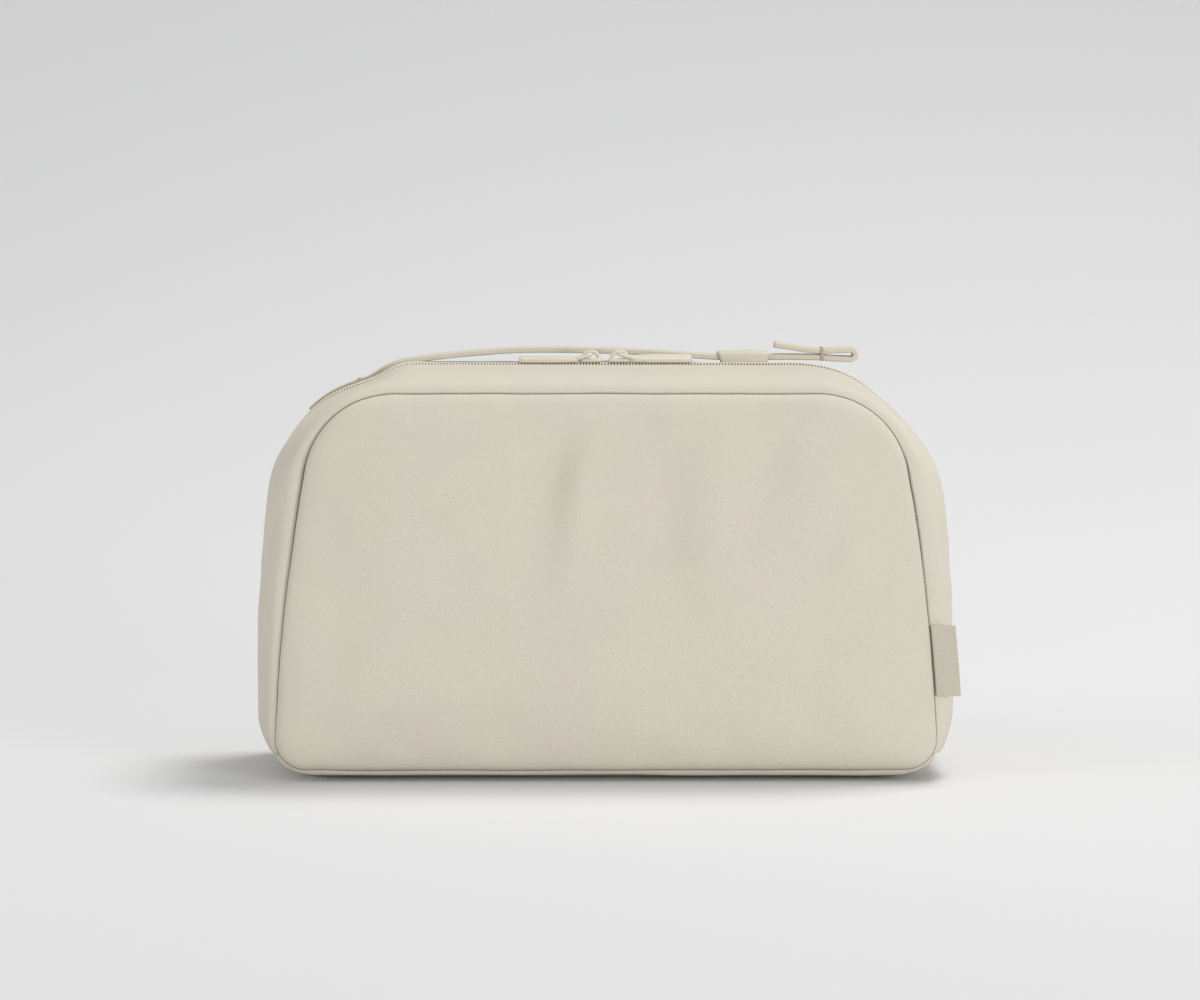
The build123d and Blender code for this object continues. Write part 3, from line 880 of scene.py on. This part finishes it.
def box_uvs(verts):
    """Weave directions for small pieces: x plus depth across, height down."""
    return np.column_stack([verts[:, 0], verts[:, 1] + verts[:, 2]]) * MM


def swept(name, parts, material, slot, body, *nodes):
    """One piece made of several swept parts."""
    verts, faces = join(parts)
    obj = add_mesh(name, verts, faces, box_uvs(verts), material)
    face_out(obj)
    return register(obj, slot, *nodes, body=body)


# ---------------------------------------------------------------- painted seam shadow: a dark cord sunk in each panel seam, standing in for the shade in its crease
STITCH_PITCH = 2.8
SHADOW_CORD_RADIUS = 0.30
SHADOW_CORD_STEP = 0.7
for side, half, body in ((-1, "front", "front_flap"), (1, "back", "bag_body")):
    outline, normals = closed_run(SEAM)
    outline, normals = outline[:-1], normals[:-1]
    centre = outline + normals * (seam_wave(at_depth(outline, side * SEAM_Y)) - 0.30)[:, None]
    lengths = lengths_along(centre)
    marks = np.arange(0, lengths[-1], SHADOW_CORD_STEP)
    line = at_depth(resampled(marks, lengths, centre), side * SEAM_Y)
    # Painted shade: the cord stands further out high up and sinks at the low corners, so the painted seam
    # shadow is darker at the top and fades at the low corners.
    upper = smoothstep(20.0, 140.0, line[:, 2])
    corner = (1 - smoothstep(14.0, 44.0, line[:, 2])) * smoothstep(96.0, 112.0, np.abs(line[:, 0]))
    stitches = 0.05 * np.cos(2 * math.pi * marks / STITCH_PITCH)
    line[:, 1] += side * (0.02 + 0.2 * upper - 0.5 * corner + stitches)
    seam = tube(line, round_section(SHADOW_CORD_RADIUS, 6), closed=True, up=(0, 1, 0))
    swept(f"{half}_painted_seam_shadow", [seam], seam_shadow_cord, "thread", body)


# ---------------------------------------------------------------- zip coil
COIL_PITCH = 1.25
COIL_WIRE = 0.36
# One turn of coil seen along the chain: distance from the middle, and height.
COIL_TURN = ((2.55, -0.95), (2.45, -0.25), (1.7, 0.0), (0.6, 0.0), (-0.12, -0.1), (-0.3, -0.5), (0.1, -0.85))


def chain_line(spacing):
    """Points and normals along the zip, evenly spaced from end stop to end stop."""
    points, normals = upper_run(sizes_at(0.0), low_z=ZIP_END_Z, steps=(20, 120, 80, 90))
    points = settled(points, normals, 0.0)
    lengths = lengths_along(points)
    marks = np.arange(0.0, lengths[-1], spacing)
    place = resampled(marks, lengths, points)
    normal = resampled(marks, lengths, normals)
    normal /= np.linalg.norm(normal, axis=1)[:, None]
    return place, normal


def coil_row(side):
    """Each turn of coil: up from the tape, across, and down round the head at the middle."""
    place, normal = chain_line(COIL_PITCH)
    shift = 0.25 if side < 0 else -0.25
    parts = []
    for (x, z), (nx, nz) in zip(place, normal):
        heading = np.array([-nz, 0.0, nx])
        centre = np.array([x, 0.0, z]) + heading * shift * COIL_PITCH
        up = np.array([nx, 0.0, nz])
        path = []
        for across, high in COIL_TURN:
            lean = heading * (0.12 * (across - 1.0))
            path.append(centre + np.array([0, side * across, 0]) + up * (high + 0.05) + lean)
        parts.append(tube(path, round_section(COIL_WIRE, 6), up=heading))
    return parts


def stops(side):
    """Small moulded blocks over the last turns at both ends of the chain."""
    parts = []
    for hand in (-1, 1):
        points = upper_run(sizes_at(0.0), low_z=ZIP_END_Z - 3.2)[0]
        keep = [k for k in range(12) if points[k][1] < ZIP_END_Z + 0.3][:8]
        path = [np.array([hand * points[k][0], side * 1.6, points[k][1]]) for k in keep]
        parts.append(tube(path, [(a, b * 0.7) for a, b in round_section(1.0, 10)], up=(hand, 0, 0)))
    return parts


for side, half, body in ((-1, "front", None), (1, "rear", "bag_body")):
    coil = swept(f"{half}_zip_coil_turns", coil_row(side), coil_nylon, "zip_coil", body, f"{half}_zip_coil")
    ends = swept(f"{half}_zip_stops", stops(side), coil_nylon, "zip_stop", body, f"{half}_zip_end_stops")
    pieces[half] += [coil, ends] if side < 0 else []

for piece in pieces["front"] + [base, base_lining]:
    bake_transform(piece)
for piece in pieces["rear"]:
    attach(piece, "bag_body")


# ---------------------------------------------------------------- carry strap
STRAP_WIDTH = 11.0
STRAP_THICK = 2.4
SEWN_END_X = (-120.0, -96.3)
SEWN_THICK = 1.5
TACK_X = -100.6
TACK_Y = (14.4, 24.6)
TAIL_FOLD = (100.5, 165.1)
TAIL_GAP = 3.8
TAIL_TACK = (88.6, 168.35)
TAIL_END = (69.2, 171.0)
WRAP_Z = (164.6, 169.75)
KEEPER_X = (47.0, 66.4)
KEEPER_TOP = 167.55
KEEPER_FOOT_Z = 162.2
KEEPER_SEWN_Z = 163.6
KEEPER_STITCH = 6.75  # from the strap's middle to the stitching down each side
STRAP_LEVEL_Z = 166.0


def strap_section(thick, groove=0.32):
    """Folded webbing end on: soft round edges, each with the groove where its two layers meet."""
    half_width, half = STRAP_WIDTH / 2, thick / 2
    points = []
    for turn in np.linspace(-math.pi / 2, math.pi / 2, 15):
        pinch = groove * math.exp(-((turn / 0.22) ** 2))
        bow = half_width - half * 0.8 + math.cos(turn) * half * 0.8 - pinch
        points.append((bow, math.sin(turn) * half))
    crown = [(x, half + 0.10 * math.cos(x / half_width * 1.5)) for x in np.linspace(3.9, -3.9, 11)]
    left = [(-x, z) for x, z in points]
    return points + crown + left[::-1] + [(-x, -z) for x, z in crown]


def through(points, spacing=1.0):
    """Points evenly spaced on a smooth curve through (x, z) points, at the strap's depth."""
    given = np.array(points, float)
    ends = np.vstack([2 * given[0] - given[1], given, 2 * given[-1] - given[-2]])
    fine = []
    for k in range(1, len(ends) - 2):
        for t in np.linspace(0, 1, 40, endpoint=False):
            a, b, c, d = ends[k - 1 : k + 3]
            curve = 2 * b + (c - a) * t + (2 * a - 5 * b + 4 * c - d) * t**2
            fine.append(0.5 * (curve + (3 * b - a - 3 * c + d) * t**3))
    fine = np.array([*fine, given[-1]])
    lengths = lengths_along(fine)
    marks = np.linspace(0, lengths[-1], max(3, int(lengths[-1] / spacing) + 1))
    return at_depth(resampled(marks, lengths, fine), STRAP_Y)


def strap_piece(name, path, thick, *nodes, seed=2, capped=True, thin_start=1.0):
    """Strap along a path lying in a plane of constant depth, slightly uneven along its edges.

    thin_start is the share of its thickness at the path's start.
    """
    section = np.array(strap_section(thick))
    verts, faces = tube(path, section, up=facing(path), capped=capped)
    rows = verts.reshape(len(path), len(section), 3)
    lengths = lengths_along(path)
    if thin_start < 1.0:
        share = thin_start + (1 - thin_start) * smoothstep(0.0, 14.0, lengths)
        scale = np.stack([share, np.ones_like(share), share], axis=1)
        rows = path[:, None] + (rows - path[:, None]) * scale[:, None]
    rows = rows + 0.07 * lumps(rows, 6.0, 50 + seed)[..., None] * np.array([0, 1, 1])
    uvs = np.array([(a * MM, b * MM) for a in lengths for b in lengths_along(section)])
    obj = add_mesh(name, rows.reshape(-1, 3), faces, uvs, strap_cloth)
    face_out(obj)
    return register(obj, "strap", *nodes)


def facing(path):
    """The upward side of a path that lies in a plane of constant depth."""
    ahead = np.gradient(path, axis=0)
    ahead /= np.linalg.norm(ahead, axis=1)[:, None]
    return np.column_stack([-ahead[:, 2], np.zeros(len(path)), ahead[:, 0]])


def sewn_path():
    """The sewn end follows the gusset round the shoulder."""
    ring, normals = upper_run(sizes_at(STRAP_Y), steps=(10, 60, 120, 60))
    ring = settled(ring, normals, STRAP_Y)
    under = (SEWN_END_X[0] < ring[:, 0]) & (ring[:, 0] < SEWN_END_X[1]) & (ring[:, 1] > 100)
    centre = ring[under] + normals[under] * (SEWN_THICK / 2 + 0.1)
    return at_depth(centre[np.argsort(centre[:, 0])], STRAP_Y)


leaving = sewn_path()[-1]
LEFT_RUN = [(leaving[0], leaving[2]), (-86.0, 163.0), (-72.0, 165.7), (-49.0, 168.0), (-26.0, 169.0)]
RIGHT_RUN = [(-26.0, 169.0), (11.0, 168.2), (46.2, 166.0)]
run = through(LEFT_RUN + RIGHT_RUN[1:])
first_join, second_join = np.searchsorted(run[:, 0], (-60.0, 12.0))
crown_left = run[: first_join + 1]
crown = run[first_join : second_join + 1]
crown_right = run[second_join:]

sewn = strap_piece("strap_sewn_end_webbing", sewn_path(), SEWN_THICK, "strap_sewn_end")
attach(sewn, "bag_body")

# Each free length: its path, CAD nodes, start thickness, and the two bodies that it goes between
# with the x and z in metres where the change starts and ends.
for name, path, nodes, thin_start, bodies, start, end in (
    ("left", crown_left, ["strap_left_run"], SEWN_THICK / STRAP_THICK,
     ("bag_body", "strap_left"), (-0.0963, 0.1595), (-0.084, 0.1627)),
    ("crown", crown, [], 1.0, ("strap_left", "strap_right"), (-0.058, 0.1685), (0.006, 0.1691)),
    ("right", crown_right, ["strap_right_run"], 1.0,
     ("strap_right", "strap_tail"), (0.037, 0.1668), (0.054, 0.1660)),
):
    name = f"strap_{name}_webbing"
    webbing = strap_piece(name, path, STRAP_THICK, *nodes, capped=False, thin_start=thin_start)
    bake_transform(webbing)


def folded_path():
    """Along the keeper, round the fold and back over itself to the free end."""
    low = [(x, STRAP_LEVEL_Z) for x in (46.0, 60.0, 74.0)] + [(86.0, 165.85), (94.0, 165.35)]
    turn = [
        (TAIL_FOLD[0] + TAIL_GAP / 2 * math.cos(a), TAIL_FOLD[1] + TAIL_GAP / 2 * (1 + math.sin(a)))
        for a in np.linspace(-math.pi / 2, math.pi / 2, 9)
    ]
    back = [(95.0, 168.75), TAIL_TACK, (81.0, 169.2), (75.0, 170.2), TAIL_END]
    return through(low + turn + back, 0.8)


tail = strap_piece("strap_folded_webbing", folded_path(), STRAP_THICK - 0.1, "strap_folded_end", seed=5)
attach(tail, "strap_tail")


def stitch_row(start, end, count, radius, rise=0.12):
    """A row of short raised stitches from start to end."""
    parts = []
    start, end = np.array(start, float), np.array(end, float)
    step = (end - start) / count
    for k in range(count):
        a = start + step * (k + 0.12)
        b = start + step * (k + 0.88)
        ts = np.linspace(0, 1, 5)
        path = [a + (b - a) * t + np.array([0, 0, rise * math.sin(math.pi * t)]) for t in ts]
        parts.append(tube(path, round_section(radius, 6), up=(0.02, 0.3, 1)))
    return parts


def bar_tack(x, y_from, y_to, z, slope):
    """Close zigzag stitching across the strap."""
    parts = []
    count = 26
    for k in range(count):
        y = y_from + (y_to - y_from) * (k + 0.5) / count
        lean = 0.22 if k % 2 else -0.22
        path = [
            (x - 0.9, y - lean, z - 0.9 * slope - 0.15),
            (x, y, z + 0.22),
            (x + 0.9, y + lean, z + 0.9 * slope - 0.15),
        ]
        parts.append(tube(path, round_section(0.2, 6), up=(0.1, 0, 1)))
    return parts


sewn_top = sewn_path()
tack_z = float(np.interp(TACK_X, sewn_top[:, 0], sewn_top[:, 2])) + 0.85
tack = bar_tack(TACK_X, *TACK_Y, tack_z, 0.42)
swept("strap_end_bar_tack", tack, thread, "thread", "bag_body", "strap_end_stitching")


def wrap_turn(x, low, high, half, radius):
    """One turn of thread round the folded strap."""
    corner = 0.9
    path = []
    # Each corner's centre, and where its quarter turn starts in half turns.
    for cy, cz, start in (
        (STRAP_Y + half - corner, high - corner, 0.0),
        (STRAP_Y - half + corner, high - corner, 0.5),
        (STRAP_Y - half + corner, low + corner, 1.0),
        (STRAP_Y + half - corner, low + corner, 1.5),
    ):
        path += [(x, y, z) for y, z in quarter_turn(cy, cz, corner, start, 5)]
    return tube(path, round_section(radius, 6), closed=True, up=(1, 0, 0))


wraps = [
    wrap_turn(TAIL_TACK[0] + shift, WRAP_Z[0], WRAP_Z[1] + 0.04 * k, STRAP_WIDTH / 2 + 0.16, 0.21)
    for k, shift in enumerate((-0.42, -0.02, 0.36))
]
swept("strap_fold_thread_wrap", wraps, thread, "thread", "strap_tail", "strap_fold_stitching")


def keeper_loop():
    """Soft loop of doubled cloth, its ends bulging a little over the strap."""
    xs = np.linspace(KEEPER_X[0], KEEPER_X[1], 18)
    outer, inner = [], []
    for x in xs:
        share = (x - KEEPER_X[0]) / (KEEPER_X[1] - KEEPER_X[0])
        swell_out = 0.25 * math.sin(math.pi * share) - 0.18 * (abs(2 * share - 1) ** 6)
        for loops, grow, bulge in ((outer, 0.75, swell_out), (inner, 0.05, 0)):
            half = STRAP_WIDTH / 2 + 0.4 + grow + bulge
            top = KEEPER_TOP + grow + bulge
            corner = 1.1 + grow
            ring = [(STRAP_Y + half, KEEPER_FOOT_Z), (STRAP_Y + half, KEEPER_SEWN_Z)]
            ring += quarter_turn(STRAP_Y + half - corner, top - corner, corner, 0.0, 7)
            ring += [(y, top + 0.12) for y in np.linspace(STRAP_Y + 3.6, STRAP_Y - 3.6, 5)]
            ring += quarter_turn(STRAP_Y - half + corner, top - corner, corner, 0.5, 7)
            ring += [(STRAP_Y - half, KEEPER_SEWN_Z), (STRAP_Y - half, KEEPER_FOOT_Z)]
            loops.append([(x, y, z) for y, z in ring])
    return np.array(outer), np.array(inner)


outer, inner = keeper_loop()
slant = (1 - smoothstep(KEEPER_X[0], KEEPER_X[0] + 6.0, outer[:, :, 0])) * (outer[:, :, 2] - 165.0) * -0.35
outer[:, :, 0] += slant
inner[:, :, 0] += slant
outer = outer + 0.08 * lumps(outer, 5.0, 71)[..., None]
keeper = shell("strap_keeper_soft", outer, inner, strap_cloth, True)
register(keeper, "strap", "strap_keeper", body="bag_body")
edges = []
for y in (STRAP_Y - KEEPER_STITCH, STRAP_Y + KEEPER_STITCH):
    edges += stitch_row((KEEPER_X[0] + 1.0, y, KEEPER_SEWN_Z), (KEEPER_X[1] - 1.0, y, KEEPER_SEWN_Z), 9, 0.16)
swept("strap_keeper_stitching", edges, thread, "thread", "bag_body")


# ---------------------------------------------------------------- sliders and pulls
PIVOT_Z = 167.55
SLIDER_X = 5.8
SLIDER_LENGTH = 9.5
SLIDER_WIDTH = 6.4
SLIDER_PLATES = ((0.5, 2.0, 0.0), (-2.9, -1.9, -0.2))  # low and high above BAG_TOP, added half width
BAIL_FOOT = 165.5
BAIL_TOP = 168.65
LOOP_LENGTH = 7.2
LOOP_HALF = 2.2
TAB_START = 5.2
TAB_LENGTH = 24.0
TAB_WIDTH = 7.5
TAB_THICK = 2.35
PULLS = {"left": (-1, 2.0, 6.0), "right": (1, 1.6, 14.0)}  # side, tab's drop, tab's twist in degrees


def slider_plate(sign, low, high, grow):
    """Lens-shaped plate, broad at the nose and narrower at the tail, with round edges."""
    sides = 40
    loops = []
    rounded = ((0.0, 0.55), (0.12, 0.86), (0.3, 0.97), (0.5, 1.0), (0.7, 0.97), (0.88, 0.86), (1.0, 0.55))
    for level, share in rounded:
        ring = []
        for turn in np.linspace(0, 2 * math.pi, sides, endpoint=False):
            c, d = math.cos(turn), math.sin(turn)
            along = squarish(c, 0.7) * (SLIDER_LENGTH / 2 - (1 - share) * 1.1)
            taper = 1.0 - 0.22 * (along / SLIDER_LENGTH + 0.5)
            across = squarish(d, 0.7) * (SLIDER_WIDTH / 2 + grow) * taper
            across *= 1 - (1 - share) * 0.3
            ring.append((sign * (SLIDER_X + along), across, low + (high - low) * level))
        loops.append(ring)
    return np.array(loops).reshape(-1, 3), capped_grid_faces(len(loops), sides)


def bail(sign):
    """Round arch over the slider that the ring hangs on."""
    path = []
    for turn in np.linspace(0, math.pi, 25):
        x = squarish(math.cos(turn), 0.85) * 3.25
        path.append((sign * SLIDER_X + x, 0.0, BAIL_FOOT + (BAIL_TOP - BAIL_FOOT) * math.sin(turn) ** 0.8))
    turns = np.linspace(0, 2 * math.pi, 14, endpoint=False)
    section = [(1.2 * squarish(math.cos(t), 0.7), 0.80 * math.sin(t)) for t in turns]
    return tube(path, section, up=facing(np.array(path)))


def pull_ring(sign, drop):
    """Oval wire ring from under the arch into the tab."""
    path = []
    for turn in np.linspace(0, 2 * math.pi, 48, endpoint=False):
        c, d = math.cos(turn), math.sin(turn)
        along = LOOP_LENGTH / 2 * (1 + squarish(c, 0.62))
        across = LOOP_HALF * squarish(d, 0.75)
        path.append((sign * (SLIDER_X + along), across, PIVOT_Z - drop * along / (TAB_START + 1.4)))
    return tube(path, round_section(0.80, 12), closed=True)


def round_end(share, least=0.0):
    """Height of a quarter circle at a share of its radius from its end."""
    return math.sqrt(max(least, 1 - (1 - min(1.0, share)) ** 2))


def pull_tab(sign, drop, twist):
    """Moulded bar with a round end, slits where its ring goes in, and a faint frame on each face."""
    ring = 72
    rows = []
    ends = [0, 0.04, 0.15, 0.35, 0.7]
    stations = ends + list(np.linspace(1.0, 6.0, 16)) + list(np.linspace(6.6, 22.6, 26))
    stations += [TAB_LENGTH - e for e in ends[::-1]]
    turn_by = math.radians(twist)
    for t in stations:
        blunt = round_end(min(t / 0.7, (TAB_LENGTH - t) / 0.95), 0.03)
        nose = round_end(t / 1.6) * 0.30 + 0.70
        tail = round_end((TAB_LENGTH - t) / 2.6) * 0.5 + 0.5
        half_width = TAB_WIDTH / 2 * (0.84 + 0.16 * min(1.0, t / 8.0)) * min(nose, tail)
        half_thick = TAB_THICK / 2 * (0.80 + 0.20 * min(1.0, t / 6.0)) * blunt
        framed = float(smoothstep(7.4, 8.4, t) * (1 - smoothstep(21.4, 22.3, t)))
        slit = float(smoothstep(0.1, 0.5, t) * (1 - smoothstep(3.2, 3.8, t)))
        points = []
        for turn in np.linspace(0, 2 * math.pi, ring, endpoint=False):
            c, d = math.cos(turn), math.sin(turn)
            y = half_width * squarish(c, 0.5)
            z = half_thick * squarish(d, 0.55)
            inset = 0.13 * framed * float(1 - smoothstep(2.5, 2.85, abs(y)))
            inset += 0.5 * slit * math.exp(-(((abs(y) - LOOP_HALF) / 0.42) ** 4))
            z -= math.copysign(min(inset, abs(z) * 0.8), z)
            across = y * math.cos(turn_by) - z * math.sin(turn_by)
            rise = y * math.sin(turn_by) + z * math.cos(turn_by)
            points.append((sign * (SLIDER_X + TAB_START + t), across, PIVOT_Z - drop + rise))
        rows.append(points)
    return np.array(rows).reshape(-1, 3), capped_grid_faces(len(rows), ring)


for hand, (sign, drop, twist) in PULLS.items():
    slider = [slider_plate(sign, BAG_TOP + low, BAG_TOP + high, grow) for low, high, grow in SLIDER_PLATES]
    neck = [(sign * (SLIDER_X - 2.6), 0, BAG_TOP - 2.2), (sign * (SLIDER_X - 2.6), 0, BAG_TOP + 0.9)]
    slider += [bail(sign), tube(neck, round_section(0.62, 10), up=(1, 0, 0))]
    ring = [pull_ring(sign, drop)]
    tab = [pull_tab(sign, drop, twist)]
    swept(f"{hand}_slider_cast", slider, painted, "slider", f"{hand}_slider", f"{hand}_slider_body")
    swept(f"{hand}_pull_ring", ring, painted, "pull_loop", f"{hand}_pull", f"{hand}_pull_loop")
    swept(f"{hand}_pull_tab_moulded", tab, tab_rubber, "pull_tab", f"{hand}_pull", f"{hand}_pull_tab")


# ---------------------------------------------------------------- side label
LABEL_Z = (34.2, 62.2)
LABEL_LENGTH = 9.9
LABEL_Y = -50.9


def label_grid():
    """A ribbon folded in two, its outer edge the fold, its cut ends in the seam."""
    low, high = LABEL_Z
    zs = np.concatenate([[low, low + 0.25], np.linspace(low + 0.8, high - 0.8, 24), [high - 0.25, high]])
    loops = []
    for z in zs:
        root = label_root(z)
        wave = 0.14 * math.sin(z / 6.0) + 0.10 * math.sin(z / 2.7)
        row_out, row_in = [], []
        for u in np.linspace(0, 1, 16):
            x = root + (LABEL_LENGTH - 0.5) * u
            y = LABEL_Y + wave * u
            puff = 0.30 * math.sin(math.pi * min(1.0, u * 1.15)) ** 0.5 if u < 0.87 else 0.30 * 0.7
            row_out.append((x, y - 0.22 - puff * 0.6, z))
            row_in.append((x, y + 0.22 + puff * 0.6, z))
        for turn in np.linspace(-math.pi / 2, math.pi / 2, 7)[1:-1]:
            row_out.append((root + LABEL_LENGTH - 0.5 + 0.42 * math.cos(turn), y + 0.35 * math.sin(turn), z))
        loops.append(row_out + row_in[::-1])
    return np.array(loops)


def label_root(z):
    """Where the label leaves the seam: the panel's side at height z."""
    middle, radius = right_half(SEAM)[:2]
    return middle[0] + math.sqrt(radius**2 - (z - middle[1]) ** 2) + 0.4


grid = label_grid()
verts = grid.reshape(-1, 3)
faces = capped_grid_faces(*grid.shape[:2])
ribbon = add_mesh("side_label_ribbon", verts, faces, verts[:, [0, 2]] * MM, label_cloth)
face_out(ribbon)
register(ribbon, "label", "side_label", body="label")


# ---------------------------------------------------------------- inside: bindings and pocket
BINDING_Y = 48.75
BINDING_DROP = 4.7  # how far inside the seam's outline
POCKET_HALF = 79.6
POCKET_Y = 44.7
POCKET_Z = (14.0, 92.0)

for side, half, body in ((-1, "front", "front_flap"), (1, "rear", "bag_body")):
    outline, normals = closed_run(SEAM)
    outline, normals = outline[:-1], normals[:-1]
    lengths = lengths_along(outline)
    sides = 14
    verts, uvs = [], []
    for length, point, normal in zip(lengths, outline, normals):
        ripple = 0.12 * math.sin(length / 1.9) + 0.08 * math.sin(length / 0.9)
        for k, turn in enumerate(np.linspace(0, 2 * math.pi, sides, endpoint=False)):
            across = squarish(math.cos(turn), 0.6) * 1.2
            flat = point - normal * BINDING_DROP + normal * (math.sin(turn) * (0.72 + ripple))
            verts.append((flat[0], side * (BINDING_Y + across), flat[1]))
            uvs.append((length * MM, k * 0.0004))
    faces = ring_faces(len(outline), sides, closed=True)
    binding = add_mesh(f"{half}_binding_tape", np.array(verts), faces, uvs, binding_cloth)
    face_out(binding)
    register(binding, "binding", f"{half}_seam_binding", body=body)


def pocket_front(z_from, z_to, rows, proud, gather):
    """The pocket's cloth, gathered a little where the elastic draws it in."""
    grid = []
    for z in np.linspace(z_from, z_to, rows):
        share = (z - POCKET_Z[0]) / (POCKET_Z[1] - POCKET_Z[0])
        row = []
        for x in np.linspace(-POCKET_HALF, POCKET_HALF, 130):
            side = 1 - abs(x) / POCKET_HALF
            hold = float(smoothstep(0.0, 0.10, side) * smoothstep(0.0, 0.12, share + 0.04))
            wave = math.sin(x / 2.3 + 0.8 * math.sin(x / 11.0))
            pleat = gather * wave * float(smoothstep(0.45, 1.0, share))
            sag = 0.9 * math.sin(math.pi * min(1.0, side * 1.2)) * math.sin(math.pi * min(1.0, share))
            row.append((x, POCKET_Y - proud - hold * (sag + pleat + 0.6), z))
        grid.append(row)
    return np.array(grid)


cloth = pocket_front(14.4, 86.6, 40, 0.0, 0.22)
pocket = shell("slip_pocket_cloth", cloth, cloth + np.array([0, 0.45, 0]), lining_cloth, True)
register(pocket, "lining", "slip_pocket", body="bag_body")
cloth = pocket_front(86.0, POCKET_Z[1], 9, 0.25, 0.42)
cloth[:, :, 1] -= 0.35 * np.sin(np.linspace(0, math.pi, 9))[:, None]
elastic = shell("slip_pocket_elastic_band", cloth, cloth + np.array([0, 0.9, 0]), binding_cloth, True)
register(elastic, "binding", "slip_pocket_elastic", body="bag_body")


# ---------------------------------------------------------------- stage, light and camera
# All in metres.
STAGE_BEND_Y = 0.5
STAGE_RADIUS = 3.2
WORLD_STRENGTH = 0.51
CAMERA_AT = (-0.0153, -1.8, 0.22655)
CAMERA_AIM = (-0.0021, 0.0, 0.10855)
CAMERA_LENS = 133.5  # mm, on a 36 mm sensor


def stage_mesh():
    """A floor that curves up into a backdrop behind the bag."""
    profile = [(-5.0, 0.0), (STAGE_BEND_Y, 0.0)]
    for turn in np.linspace(0.04, math.pi / 2, 30):
        profile.append((STAGE_BEND_Y + STAGE_RADIUS * math.sin(turn), STAGE_RADIUS * (1 - math.cos(turn))))
    profile.append((STAGE_BEND_Y + STAGE_RADIUS, 7.0))
    verts = np.array([(x, y, z) for y, z in profile for x in (-6.0, 6.0)]) / MM
    faces = [(2 * k, 2 * k + 1, 2 * k + 3, 2 * k + 2) for k in range(len(profile) - 1)]
    n = Nodes("studio")
    n.set(Base_Color=(0.75, 0.75, 0.75, 1), Roughness=0.95, Specular_IOR_Level=0.1)
    return add_mesh("studio_floor", verts, faces, None, n.material)


stage_mesh()


def area_light(name, location, target, size, power, colour=(1, 1, 1)):
    data = bpy.data.lights.new(name, "AREA")
    data.shape = "RECTANGLE"
    data.size, data.size_y = size
    data.energy = power
    data.color = colour
    obj = bpy.data.objects.new(name, data)
    bpy.context.collection.objects.link(obj)
    obj.location = location
    obj.rotation_euler = (Vector(target) - Vector(location)).to_track_quat("-Z", "Y").to_euler()


area_light("key_light", (0.6, 0.42, 2.1), (0, 0, 0.05), (0.8, 0.8), 27, (1.0, 0.99, 0.97))
area_light("front_light", (1.7, -2.3, 0.40), (0, 0, 0.09), (1.1, 0.7), 40)
area_light("left_light", (-2.4, -1.2, 0.6), (0, 0, 0.1), (1.4, 0.8), 19)

world = bpy.data.worlds.new("studio_air")
world.use_nodes = True
world.node_tree.nodes["Background"].inputs[0].default_value = (0.96, 0.97, 1.0, 1)
world.node_tree.nodes["Background"].inputs[1].default_value = WORLD_STRENGTH
bpy.context.scene.world = world
bpy.context.scene.view_settings.view_transform = "Standard"

camera_data = bpy.data.cameras.new("camera")
camera_data.sensor_width = 36.0
camera_data.lens = CAMERA_LENS
camera = bpy.data.objects.new("camera", camera_data)
bpy.context.collection.objects.link(camera)
camera.location = CAMERA_AT
aim = Vector(CAMERA_AIM) - camera.location
camera.rotation_euler = aim.to_track_quat("-Z", "Y").to_euler()
bpy.context.scene.camera = camera

bpy.context.view_layer.update()
